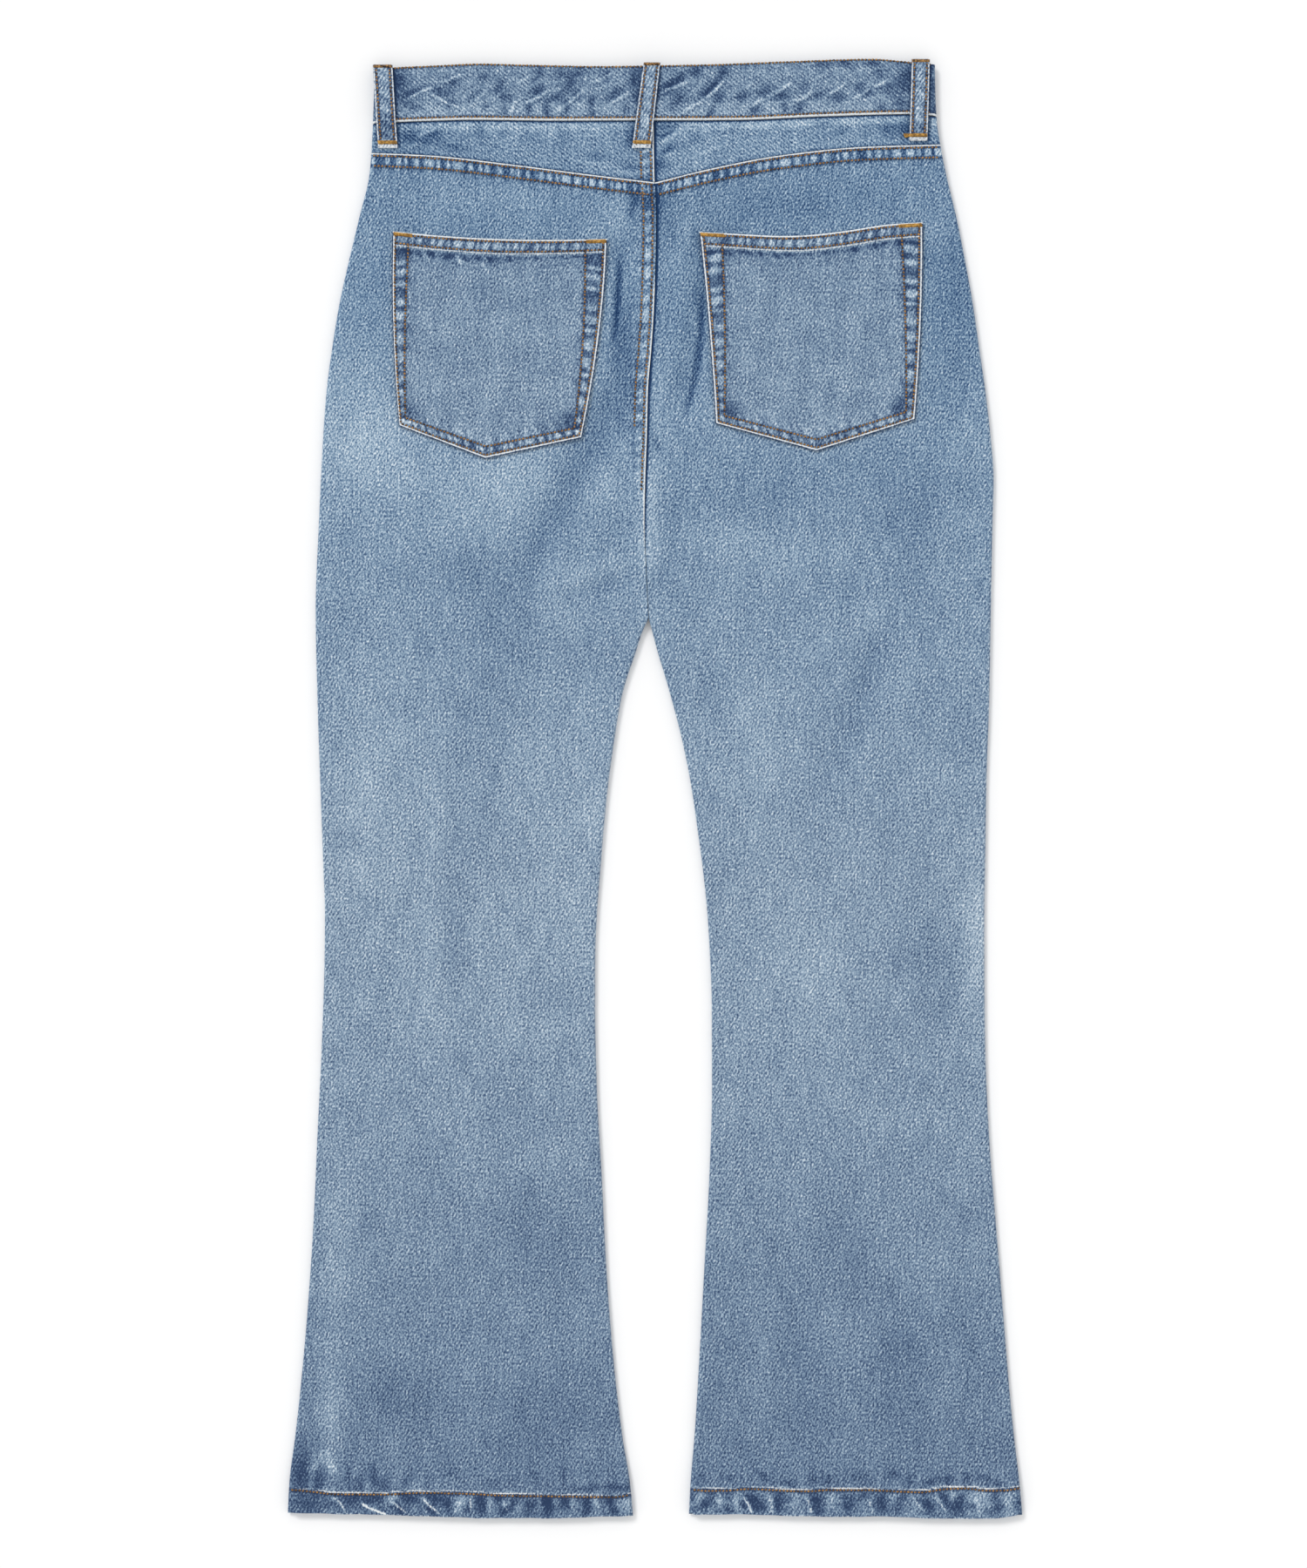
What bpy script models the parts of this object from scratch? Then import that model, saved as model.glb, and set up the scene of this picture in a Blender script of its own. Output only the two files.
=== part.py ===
# Flared five-pocket jeans, laid flat with the back up and the waist towards +Y.
# Blender works in metres. The sizes below are in millimetres, and MM turns them into metres.
# Left and right are those of the picture: left is -X. The jeans lie on the plane z = 0.

import math
from collections import namedtuple

import bmesh
import bpy
import numpy as np

MM = 0.001
MERGE = 0.00001         # points closer than this are one
MIDDLE = (-0.14, 0.93)  # where the sizes below have the middle of the whole, which goes to the origin

# Thickness of what is sewn
CLOTH = 1.2             # one layer of denim
HEM_CLOTH = 2.4         # the turned hem
BAND_CLOTH = 2.6        # the folded waistband
LOOP_CLOTH = 1.6        # a belt loop's folded strip
SHIELD_CLOTH = 1.0

# Seams
SEAM_GAP = 0.3          # between two pieces sewn edge to edge
LAY_GAP = 0.45          # between a piece and the panel that it lies on
LAP_RISE = 0.9          # how far a felled seam stands above its panel
LAP_WIDTH = 9.2         # the felled seam's width
LAP_END = 10.6          # where its slope meets the panel
HEM_DEPTH = 16.0

# Rows of the flat outline: the two outer side edges, from the waist down to the hem
Side = namedtuple("Side", "y left right")
SIDES = (
    Side(503, -193.4, 192.6),
    Side(485, -193.6, 192.8),
    Side(461, -194.4, 193.9),
    Side(443, -195.2, 196.6),
    Side(424, -196.9, 200.4),
    Side(394, -204.0, 207.6),
    Side(364, -211.2, 213.6),
    Side(334, -217.8, 219.0),
    Side(304, -222.7, 223.3),
    Side(274, -226.6, 227.6),
    Side(244, -228.8, 231.0),
    Side(214, -230.4, 233.2),
    Side(184, -231.8, 232.4),
    Side(124, -234.0, 231.2),
    Side(64, -232.8, 230.2),
    Side(4, -230.8, 228.2),
    Side(-56, -228.6, 227.3),
    Side(-86, -227.6, 226.8),
    Side(-116, -227.9, 226.8),
    Side(-176, -229.8, 227.4),
    Side(-236, -232.7, 229.9),
    Side(-296, -235.4, 234.5),
    Side(-356, -239.4, 239.4),
    Side(-416, -244.8, 244.3),
    Side(-446, -248.2, 247.3),
    Side(-476, -252.0, 250.8),
    Side(-503, -253.4, 253.2),
)

# The seat seam from the waist to the crotch
Seam = namedtuple("Seam", "y x")
SEAT_SEAM = (
    Seam(465, -1.2),
    Seam(424, -0.5),
    Seam(394, 0.7),
    Seam(364, 0.3),
    Seam(334, -0.7),
    Seam(304, -2.6),
    Seam(274, -5.0),
    Seam(244, -5.7),
    Seam(214, -6.8),
    Seam(184, -7.4),
    Seam(154, -6.4),
    Seam(118, -4.6),
)
CROTCH_Y = 118.0
CROTCH_SPREAD = 0.5
SQUEEZE_START_Y = 190.0

# The two inner leg edges, from the crotch to the hem
Inseam = namedtuple("Inseam", "y left right")
INSEAMS = (
    Inseam(118, -4.75, -4.45),
    Inseam(109, -9.0, -2.0),
    Inseam(94, -13.8, 2.0),
    Inseam(79, -19.0, 6.6),
    Inseam(64, -23.2, 10.9),
    Inseam(34, -28.3, 18.6),
    Inseam(4, -32.4, 24.6),
    Inseam(-26, -35.4, 29.0),
    Inseam(-56, -37.9, 33.0),
    Inseam(-86, -40.2, 36.0),
    Inseam(-116, -41.4, 37.8),
    Inseam(-146, -41.5, 38.9),
    Inseam(-206, -40.2, 39.1),
    Inseam(-266, -36.9, 37.3),
    Inseam(-326, -33.9, 34.0),
    Inseam(-386, -29.4, 30.7),
    Inseam(-446, -22.6, 27.0),
    Inseam(-476, -17.6, 24.4),
    Inseam(-503, -15.0, 23.0),
)

# Lines across the jeans, by x: the waistband's two edges, the yoke seam and the hem
Line = namedtuple("Line", "x y")
WAIST_TOP = (
    Line(-196, 496.0),
    Line(-181, 497.3),
    Line(-151, 498.7),
    Line(-121, 500.0),
    Line(-91, 499.3),
    Line(-31, 498.1),
    Line(29, 499.1),
    Line(89, 501.5),
    Line(149, 503.3),
    Line(173, 501.4),
    Line(196, 499.2),
)
WAIST_SEAM = (
    Line(-196, 458.8),
    Line(-156, 460.6),
    Line(-126, 461.3),
    Line(-66, 460.7),
    Line(4, 460.7),
    Line(58, 461.2),
    Line(114, 463.6),
    Line(175, 465.2),
    Line(196, 463.8),
)
YOKE_SEAM_LEFT = (
    Line(-198, 438.8),
    Line(-155, 436.9),
    Line(-98, 430.6),
    Line(-41, 423.2),
    Line(0, 418.2),
)
YOKE_SEAM_RIGHT = (
    Line(0, 418.2),
    Line(43, 428.8),
    Line(86, 436.9),
    Line(143, 442.8),
    Line(200, 444.6),
)
HEM_LINE = (
    Line(-254, -498.2),
    Line(-194, -498.6),
    Line(-110, -501.4),
    Line(-12, -500.0),
    Line(24, -498.8),
    Line(110, -499.8),
    Line(230, -501.4),
    Line(254, -499.4),
)

# Heights of the back's outer face, and of the fold at the side edges, along the length
Level = namedtuple("Level", "y z")
BACK_LEVELS = (
    Level(503, 6.3),
    Level(461, 6.3),
    Level(440, 6.2),
    Level(410, 5.9),
    Level(370, 5.7),
    Level(300, 5.7),
    Level(200, 5.5),
    Level(118, 5.2),
    Level(40, 4.9),
    Level(-100, 4.8),
    Level(-455, 4.7),
    Level(-484, 6.3),
    Level(-503, 6.3),
)
FOLD_LEVELS = (
    Level(503, 4.2),
    Level(461, 4.2),
    Level(440, 4.0),
    Level(400, 3.0),
    Level(360, 2.5),
    Level(100, 2.3),
    Level(-455, 2.2),
    Level(-484, 3.1),
    Level(-503, 3.1),
)
BAND_SHARES = (1.0, 0.7, 0.3, 0.0)      # its rows, as shares of its height
BAND_BACK_COLUMNS = 40
BAND_FRONT_COLUMNS = 9
BAND_TURN_STEPS = 6
BAND_BACK_Z = 7.6       # the waistband's outer face on the back
BAND_FRONT_Z = 1.6      # and on the front, held up by the belt loops under it
BUTTON_LIFT = 2.0       # how much higher the button holds it at the centre front
BUTTON_REACH = 45.0
BACK_LIFT_SHARE = 0.75  # the back rises by this share of it
BACK_LIFT_FROM = 375    # between these two levels
BACK_LIFT_TO = 425
SHIELD_SIDE = (24, 19)  # distance to each side over which the back rises on to the strip behind the fly
SHIELD_END = (200, 206)     # and the levels over which it rises at the strip's lower end
FRONT_SEAM_STEP = 0.3   # the front panels lie this much above the waistband's outer face
FRONT_DIP = 16.0        # how much lower the waist is at the centre front
HALF_WAIST = 194.0
LIP = 0.35              # short upright strip at a folded side edge

# Folds in the back: a curve through three points, its half width and its height
Fold = namedtuple("Fold", "x0 y0 x1 y1 x2 y2 reach height")
FOLDS = (
    Fold(-24, 392, -25, 335, -12, 272, 10, -1.9),       # beside the left pocket
    Fold(-14, 292, -52, 226, -108, 112, 15, -1.8),      # under the left pocket
    Fold(29, 392, 31, 330, 8, 240, 10, -1.9),           # beside the right pocket
    Fold(14, 384, 19, 335, 9, 270, 8, 0.7),
    Fold(-4, 232, -5, 190, -5, 138, 9, 0.8),            # along the seat seam's lower end
    Fold(-66, 128, -42, 139, -14, 143, 8, -0.9),        # drag lines at the crotch
    Fold(-60, 142, -38, 153, -12, 158, 8, 0.6),
    Fold(162, 124, 138, 58, 108, -8, 12, -1.2),
    Fold(28, 96, 42, 52, 62, 6, 12, -0.8),
    Fold(-154, 34, -153, -80, -155, -190, 10, 0.6),
    Fold(-222, -250, -224, -360, -221, -470, 10, 0.6),
    Fold(80, -300, 96, -380, 90, -470, 16, -0.8),
    Fold(-160, -330, -148, -400, -160, -474, 16, -0.8),
    Fold(186, -240, 192, -350, 204, -462, 14, 0.7),
    Fold(-60, -350, -52, -420, -62, -480, 14, 0.6),
    Fold(-216, 300, -196, 268, -170, 232, 14, -0.9),    # at the hips, below the pockets
    Fold(212, 292, 198, 262, 176, 226, 14, -0.8),
)
FOLD_STEPS = 10
FOLD_FADE = 0.22        # share of a fold's length over which each end dies away

# Small waves pressed in by the stitching
HEM_WAVE = 0.4
BAND_WAVE = 0.25

# Back pockets: corners and the middle of each edge
Pocket = namedtuple("Pocket", "name top_left top top_right left right bottom_left point bottom_right")
POCKETS = (
    Pocket("pocket_left", (-180.6, 384.6), (-108.0, 379.2), (-33.0, 379.4),
           (-180.7, 318.0), (-38.2, 314.0), (-176.4, 250.8), (-117.0, 228.0), (-50.6, 242.4)),
    Pocket("pocket_right", (30.2, 384.2), (107.0, 383.5), (184.2, 390.8),
           (36.8, 318.0), (183.2, 323.0), (41.4, 252.2), (111.0, 233.2), (178.8, 255.0)),
)
POCKET_RIM = 0.4        # the turned edge stands this much above the pocket
POCKET_RIM_WIDTH = 9.5
POCKET_HEM = 0.8        # and the hem along its top
POCKET_RIM_SLOPE = 1.6  # over which the turned edge drops to the pocket's own level
POCKET_COLUMNS = 7
POCKET_SIZE = 148.0
DRAPE_REACH = 4.0       # cloth on a panel bridges dips narrower than twice this

# Belt loops on the back: the middle of the upper and of the lower end
Loop = namedtuple("Loop", "name x_top x_bottom y_bottom")
LOOPS = (
    Loop("belt_loop_left", -187.4, -184.0, 441.9),
    Loop("belt_loop_centre", -2.4, -9.6, 441.7),
    Loop("belt_loop_right", 182.6, 181.0, 446.9),
)
LOOP_WIDTH = 13.6
LOOP_ARCH = 0.7
LOOP_EDGE = 1.2         # width and drop of the loop's rounded long edges
LOOP_EDGE_DROP = 0.3
LOOP_HOOK = 1.9         # outer radius where the loop turns over the waistband's top
LOOP_TIP = -1.0         # level of its cut end behind that turn, from the waistband's face
LOOP_HOOK_TURNS = (0, 30, 60, 90)       # degrees
LOOP_ROWS = (8, 18, 28)                 # distances below its top
LOOP_LOW_ROWS = (462, 458, 454, 450)    # levels at and below the waistband's lower edge
LOOP_DOWN = (448, 459)  # levels between which it steps down from the waistband to the yoke
LOOP_LIE_Y = 460.0      # the yoke's highest level under a loop
LOOP_ARCH_END = 452
FRONT_LOOP_X = 116.0
FRONT_LOOP_SIZE = (14.0, 54.0, 1.2)
FRONT_LOOP_Y = 463.0
FRONT_LOOP_ROUNDING = 0.35

# The button: radius and height down its outer side
BUTTON_X = -1.0
BUTTON_Y = 463.0
BUTTON_PROFILE = (
    (0.0, 3.25), (4.0, 3.25), (4.0, 2.3), (7.6, 2.3),
    (8.5, 1.6), (8.5, 0.9), (7.4, 0.0), (0.0, 0.0),
)
BUTTON_SIDES = 20

# The strip behind the closed fly
Strip = namedtuple("Strip", "y left right")
FLY_SHIELD = (
    Strip(436.5, -18, 20),
    Strip(424.5, -18, 20),
    Strip(412.5, -18, 20),
    Strip(400.5, -18, 20),
    Strip(384.5, -18, 20),
    Strip(340, -18, 20),
    Strip(260, -18, 20),
    Strip(236, -15, 20),
    Strip(220, -9, 19),
    Strip(210, -2, 16),
)

SHIELD_COLUMNS = 4

# Rows and columns of the panels
PANEL_COLUMNS = 20
FRONT_COLUMNS = 4
YOKE_COLUMNS = 18
LAP_ROWS = (0.0, 1.0, LAP_WIDTH, LAP_END, 15.0)     # distances below the yoke seam
SEAT_FOLLOWS = (330, 425)   # levels between which a row takes on the yoke seam's line
SEAT_ROWS = (382, 354, 328, 302, 277, 252, 227, 202, 178, 156, 136, 118)
LEG_ROWS = (109, 96, 78, 52, 14, -35, -95, -160, -230, -300, -365, -425)
HEM_ROWS = (26.0, 18.0, HEM_DEPTH, 8.0, 0.0)        # distances above the hem's end
YOKE_ROWS = 4
FRONT_WAIST_ROWS = (0.0, 8.0, 20.0, 32.0, 44.0, 60.0)
FRONT_ROWS = (340, 290, 240, 190, 156, 136, 118, 109, 96, 78, 52, 14, -35, -95, -160, -230, -300, -365, -425)

# How the columns beside an edge are laid out, for a flat sewn edge and for a rolled one:
# distance from the flat edge, height of the upright lip, turn of the roll in degrees
EdgeColumn = namedtuple("EdgeColumn", "flat lip turn")
EDGE_COLUMNS = (
    EdgeColumn(0.0, 0.0, 0),
    EdgeColumn(1.0, LIP, 0),
    EdgeColumn(LAP_WIDTH, LIP, 35),
    EdgeColumn(LAP_END, LIP, 65),
    EdgeColumn(14.0, LIP, 90),
)

CLOSED_SPACING = 0.25   # between the columns where they have closed up for the rolled inseam

# An edge's x, how far it is rolled and how far its columns have closed up, each by y
Edge = namedtuple("Edge", "x roll squeeze")

# Colours, as linear red, green and blue
DENIM = (0.20, 0.28, 0.38)
DENIM_EDGE = (0.28, 0.36, 0.46)
METAL = (0.45, 0.36, 0.26)


def smooth(table, field, at):
    """Read a column of a table as a smooth curve of its first column, with no overshoot."""
    rows = sorted(table)
    xs = np.array([row[0] for row in rows], dtype=float)
    ys = np.array([getattr(row, field) for row in rows], dtype=float)
    rises = np.diff(ys) / np.diff(xs)
    same_way = rises[1:] * rises[:-1] > 0
    totals = np.where(same_way, rises[1:] + rises[:-1], 1.0)
    inner = np.where(same_way, 2 * rises[1:] * rises[:-1] / totals, 0.0)
    slopes = np.concatenate(([rises[0]], inner, [rises[-1]]))
    at = np.clip(np.asarray(at, dtype=float), xs[0], xs[-1])
    i = np.clip(np.searchsorted(xs, at) - 1, 0, len(xs) - 2)
    width = xs[i + 1] - xs[i]
    t = (at - xs[i]) / width
    start = (1 + 2 * t) * (1 - t) ** 2 * ys[i] + t * (1 - t) ** 2 * width * slopes[i]
    end = t * t * (3 - 2 * t) * ys[i + 1] + t * t * (t - 1) * width * slopes[i + 1]
    return start + end


def step(low, high, value):
    """Rise smoothly from 0 at low to 1 at high."""
    t = np.clip((np.asarray(value, dtype=float) - low) / (high - low), 0.0, 1.0)
    return t * t * (3 - 2 * t)


def bend(start, middle, end, t):
    """Point on the parabola through three points, at 0, 0.5 and 1."""
    weights = (2 * (t - 0.5) * (t - 1), 4 * t * (1 - t), 2 * t * (t - 0.5))
    return tuple(sum(w * p[k] for w, p in zip(weights, (start, middle, end))) for k in range(2))


def fold_height(x, y):
    """Sum of the soft ridges and troughs at each point."""
    total = np.zeros_like(x)
    for fold in FOLDS:
        path = [bend((fold.x0, fold.y0), (fold.x1, fold.y1), (fold.x2, fold.y2), k / FOLD_STEPS)
                for k in range(FOLD_STEPS + 1)]
        nearest = np.full_like(x, np.inf)
        place = np.zeros_like(x)
        for k, (p, q) in enumerate(zip(path, path[1:])):
            dx = q[0] - p[0]
            dy = q[1] - p[1]
            along = np.clip(((x - p[0]) * dx + (y - p[1]) * dy) / (dx * dx + dy * dy), 0, 1)
            distance = np.hypot(x - p[0] - along * dx, y - p[1] - along * dy)
            place = np.where(distance < nearest, (k + along) / FOLD_STEPS, place)
            nearest = np.minimum(distance, nearest)
        fade = step(0, FOLD_FADE, place) * step(0, FOLD_FADE, 1 - place)
        total += fold.height * fade * np.exp(-(nearest / fold.reach) ** 2)
    return total


def button_lift(x):
    """How much the button under the centre front lifts what lies over it."""
    return BUTTON_LIFT * np.exp(-(np.asarray(x, dtype=float) / BUTTON_REACH) ** 2)


def front_dip(x):
    """How much lower the waist of the front is than that of the back."""
    return FRONT_DIP * (1 - (np.clip(x, -HALF_WAIST, HALF_WAIST) / HALF_WAIST) ** 2)


def front_seam_y(x):
    return smooth(WAIST_SEAM, "y", x) - front_dip(x)


def front_outer(x, y):
    """Height of the front panels' outer face, which is the underside of the jeans."""
    rise = BAND_FRONT_Z + FRONT_SEAM_STEP + button_lift(x)
    below = front_seam_y(x) - y
    return rise * (1 - step(FRONT_WAIST_ROWS[2], FRONT_WAIST_ROWS[-1], below))


def hem_cloth(distance):
    """Thickness of a leg at a distance above the hem's end."""
    return np.where(distance <= HEM_DEPTH + 0.1, HEM_CLOTH, CLOTH)


def back_outer(x, y):
    """Height of the back's outer face without its raised seams."""
    lift = BACK_LIFT_SHARE * button_lift(x) * step(BACK_LIFT_FROM, BACK_LIFT_TO, y)
    top = smooth(BACK_LEVELS, "z", y) + lift + fold_height(x, y)
    shield = SEAM_GAP + SHIELD_CLOTH * step(*SHIELD_SIDE, np.abs(x)) * step(*SHIELD_END, y)
    lowest = front_outer(x, y) + 2 * CLOTH + SEAM_GAP + shield
    return np.maximum(top, lowest)


def lap(distance):
    """Height of a felled seam at a distance from its edge."""
    return LAP_RISE * (1 - step(LAP_WIDTH, LAP_END, distance))


def side_left(y):
    return smooth(SIDES, "left", y)


def side_right(y):
    return smooth(SIDES, "right", y)


def inner_left(y):
    """Right-hand edge of the left half: the seat seam, then the left inseam."""
    seat = smooth(SEAT_SEAM, "x", y) - SEAM_GAP / 2
    return np.where(np.asarray(y) > CROTCH_Y, seat, smooth(INSEAMS, "left", y))


def inner_right(y):
    """Left-hand edge of the right half."""
    seat = smooth(SEAT_SEAM, "x", y) + SEAM_GAP / 2
    return np.where(np.asarray(y) > CROTCH_Y, seat, smooth(INSEAMS, "right", y))


def leg_roll(y):
    """0 where the inner edge is the flat seat seam, 1 where it is a rolled inseam."""
    return 1 - step(LEG_ROWS[0], CROTCH_Y, y)


def leg_squeeze(y):
    """How far the columns beside the seat seam have closed up for the rolled inseam."""
    return 1 - step(CROTCH_Y, SQUEEZE_START_Y, y)


def fully(y):
    return np.ones_like(np.asarray(y, dtype=float))


def crotch_spread(y):
    """Extra room between the back's and the front's edge where four seams meet."""
    return CROTCH_SPREAD * step(LEG_ROWS[1], LEG_ROWS[0], y)


def edge_points(edge, line, surface, sign, inward):
    """The columns beside one edge, as x, y and z, from the edge inwards."""
    y0 = float(line(edge.x(line(0.0))))
    x0 = float(edge.x(y0))
    amount = float(edge.roll(y0))
    squeeze = float(edge.squeeze(y0))
    spread = SEAM_GAP / 2 + float(crotch_spread(y0)) * (edge.squeeze is leg_squeeze)
    rim = float(smooth(FOLD_LEVELS, "z", y0)) + sign * spread
    level = float(surface(np.array([x0 + 2 * inward]), np.array([y0]))[0])
    radius = sign * (level - rim) - LIP
    points = []
    for k, column in enumerate(EDGE_COLUMNS):
        turn = math.radians(column.turn)
        closed = max(radius, CLOTH) * (1 - math.cos(turn)) + (1 - amount) * k * CLOSED_SPACING
        distance = (1 - squeeze) * column.flat + squeeze * closed
        x = x0 + inward * distance
        y = float(line(x))
        rolled = rim + sign * (column.lip + radius * math.sin(turn))
        flat = float(surface(np.array([x]), np.array([y]))[0])
        points.append((x, y, amount * rolled + (1 - amount) * flat))
    return points


def panel_row(line, left, right, columns, surface, sign):
    """One row across a panel, between its left and right edges."""
    start = edge_points(left, line, surface, sign, 1)
    end = edge_points(right, line, surface, sign, -1)
    xs = np.linspace(start[-1][0], end[-1][0], columns + 1)[1:-1]
    ys = np.array([float(line(x)) for x in xs])
    zs = surface(xs, ys)
    return start + list(zip(xs, ys, zs)) + end[::-1]


def collection():
    """The collection that holds the jeans."""
    group = bpy.data.collections.get("flared_jeans")
    if group is None:
        group = bpy.data.collections.new("flared_jeans")
        bpy.context.scene.collection.children.link(group)
    return group


def material(name, colour, roughness, metallic=0.0):
    """A plain surface of one colour."""
    made = bpy.data.materials.new(name)
    made.use_nodes = True
    surface = made.node_tree.nodes["Principled BSDF"]
    surface.inputs["Base Color"].default_value = (*colour, 1.0)
    surface.inputs["Roughness"].default_value = roughness
    surface.inputs["Metallic"].default_value = metallic
    return made


def add_object(name, mesh, colour, roughness=0.85, metallic=0.0):
    """Put a mesh in the collection under its name, with its own material."""
    piece = bpy.data.objects.new(name, mesh)
    collection().objects.link(piece)
    mesh.materials.append(material(name, colour, roughness, metallic))
    return piece


def in_metres(point):
    """A point of the tables' frame, placed about the origin in metres."""
    x, y, z = point
    return ((x - MIDDLE[0]) * MM, (y - MIDDLE[1]) * MM, z * MM)


def sheet(name, rows, cloth, colour, faces_down=False):
    """Sew rows of points (waist to hem, left to right) into cloth, thickened inwards.

    cloth is a single thickness, one for each row, or one for each point.
    """
    width = len(rows[0])
    vertices = [in_metres(point) for row in rows for point in row]
    faces = []
    for i in range(len(rows) - 1):
        for j in range(width - 1):
            a = i * width + j
            quad = (a, a + width, a + width + 1, a + 1)
            faces.append(quad[::-1] if faces_down else quad)
    mesh = bpy.data.meshes.new(name)
    mesh.from_pydata(vertices, [], faces)
    piece = add_object(name, mesh, colour)
    thickness = np.asarray(cloth, dtype=float)
    if thickness.ndim < 2:
        thickness = thickness.reshape(-1, 1)
    thickness = np.broadcast_to(thickness, (len(rows), width))
    layers = piece.vertex_groups.new(name="layers")
    most = float(thickness.max())
    for index, value in enumerate(thickness.ravel()):
        layers.add([index], float(value) / most, "REPLACE")
    solid = piece.modifiers.new("Cloth", "SOLIDIFY")
    solid.thickness = most * MM
    solid.offset = -1.0
    solid.vertex_group = "layers"
    mesh.shade_smooth()
    return piece


def yoke_line(table, drop):
    """The line across a panel at a distance below the yoke seam."""
    return lambda x: smooth(table, "y", x) - drop


def seat_line(table, y):
    """A row of the seat, which follows the yoke seam near it and is straight further down."""
    follow = float(step(*SEAT_FOLLOWS, y))
    middle = float(np.mean([row.y for row in table]))
    return lambda x: y + follow * (smooth(table, "y", x) - middle)


def hem_line(rise):
    """The line across a leg at a distance above the hem's end."""
    return lambda x: smooth(HEM_LINE, "y", x) + rise


def back_panel(name, table, left, right, laps_over):
    """A back leg panel, from the yoke seam to the hem."""
    inner = inner_left if laps_over else inner_right

    def outer(drop):
        def surface(x, y):
            seat = lap(np.abs(x - inner(y))) * (1 - leg_roll(y)) if laps_over else 0.0
            return back_outer(x, y) + np.maximum(seat, lap(drop))
        return surface

    rows = []
    cloth = []
    for drop in LAP_ROWS:
        line = yoke_line(table, drop + SEAM_GAP / 2)
        rows.append(panel_row(line, left, right, PANEL_COLUMNS, outer(drop), 1))
        cloth.append(CLOTH)
    plain = outer(LAP_END)
    for y in SEAT_ROWS:
        rows.append(panel_row(seat_line(table, y), left, right, PANEL_COLUMNS, plain, 1))
        cloth.append(CLOTH)
    for y in LEG_ROWS:
        rows.append(panel_row(lambda x, y=y: y + 0 * x, left, right, PANEL_COLUMNS, plain, 1))
        cloth.append(CLOTH)
    for rise in HEM_ROWS:
        row = panel_row(hem_line(rise), left, right, PANEL_COLUMNS, plain, 1)
        if 0 < rise < HEM_DEPTH + 1:
            edge = len(EDGE_COLUMNS)
            for j in range(edge, len(row) - edge):
                x, y, z = row[j]
                row[j] = (x, y, z + HEM_WAVE * (-1) ** j)
        rows.append(row)
        cloth.append(float(hem_cloth(rise)))
    return sheet(name, rows, cloth, DENIM)


def yoke(name, table, left, right, laps_over):
    """Half of the back yoke, between the waistband and a back leg panel."""
    inner = inner_left if laps_over else inner_right

    def surface(x, y):
        seat = lap(np.abs(x - inner(y))) if laps_over else 0.0
        return back_outer(x, y) + seat

    def line(share):
        def across(x):
            top = smooth(WAIST_SEAM, "y", x) - SEAM_GAP
            bottom = smooth(table, "y", x) + SEAM_GAP / 2
            return top + share * (bottom - top)
        return across

    rows = []
    for k in range(YOKE_ROWS + 1):
        rows.append(panel_row(line(k / YOKE_ROWS), left, right, YOKE_COLUMNS, surface, 1))
    return sheet(name, rows, CLOTH, DENIM)


def front_panel(name, left, right):
    """A front leg panel, from the dipped waist to the hem. Its outer face is the flat underside."""
    rows = []
    cloth = []
    for drop in FRONT_WAIST_ROWS:
        def line(x, drop=drop):
            return front_seam_y(x) - SEAM_GAP - drop
        rows.append(panel_row(line, left, right, FRONT_COLUMNS, front_outer, -1))
        cloth.append(CLOTH)
    for y in FRONT_ROWS:
        rows.append(panel_row(lambda x, y=y: y + 0 * x, left, right, FRONT_COLUMNS, front_outer, -1))
        cloth.append(CLOTH)
    for rise in HEM_ROWS:
        rows.append(panel_row(hem_line(rise), left, right, FRONT_COLUMNS, front_outer, -1))
        cloth.append(float(hem_cloth(rise)))
    return sheet(name, rows, cloth, DENIM, faces_down=True)


def band_outer(x):
    """Height of the waistband's outer face on the back."""
    return BAND_BACK_Z + button_lift(x)


def waistband():
    """The folded strip round the waist, whose ends meet at the centre front."""
    rows = []
    for share in BAND_SHARES:
        def across(x, dip, share=share):
            low = float(smooth(WAIST_SEAM, "y", x)) + SEAM_GAP / 2
            high = float(smooth(WAIST_TOP, "y", x))
            return low + share * (high - low) - dip * float(front_dip(x))

        left = float(side_left(across(-HALF_WAIST, 0)))
        right = float(side_right(across(HALF_WAIST, 0)))
        radius = (BAND_BACK_Z - BAND_FRONT_Z) / 2
        middle_z = BAND_FRONT_Z + radius
        row = []
        for x in np.linspace(-SEAM_GAP / 2, left + radius, BAND_FRONT_COLUMNS + 1):
            row.append((x, across(x, 1), BAND_FRONT_Z + float(button_lift(x))))
        for k in range(1, BAND_TURN_STEPS):
            turn = math.pi * k / BAND_TURN_STEPS
            x = left + radius * (1 - math.sin(turn))
            row.append((x, across(x, 0), middle_z - radius * math.cos(turn)))
        for j, x in enumerate(np.linspace(left + radius, right - radius, BAND_BACK_COLUMNS + 1)):
            wave = BAND_WAVE * (-1) ** j * math.sin(math.pi * share) * (0 < j < BAND_BACK_COLUMNS)
            row.append((x, across(x, 0), float(band_outer(x)) + wave))
        for k in range(1, BAND_TURN_STEPS):
            turn = math.pi * k / BAND_TURN_STEPS
            x = right - radius * (1 - math.sin(turn))
            row.append((x, across(x, 0), middle_z + radius * math.cos(turn)))
        for x in np.linspace(right - radius, SEAM_GAP / 2, BAND_FRONT_COLUMNS + 1):
            row.append((x, across(x, 1), BAND_FRONT_Z + float(button_lift(x))))
        rows.append(row)
    return sheet("waistband", rows, BAND_CLOTH, DENIM)


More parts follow.
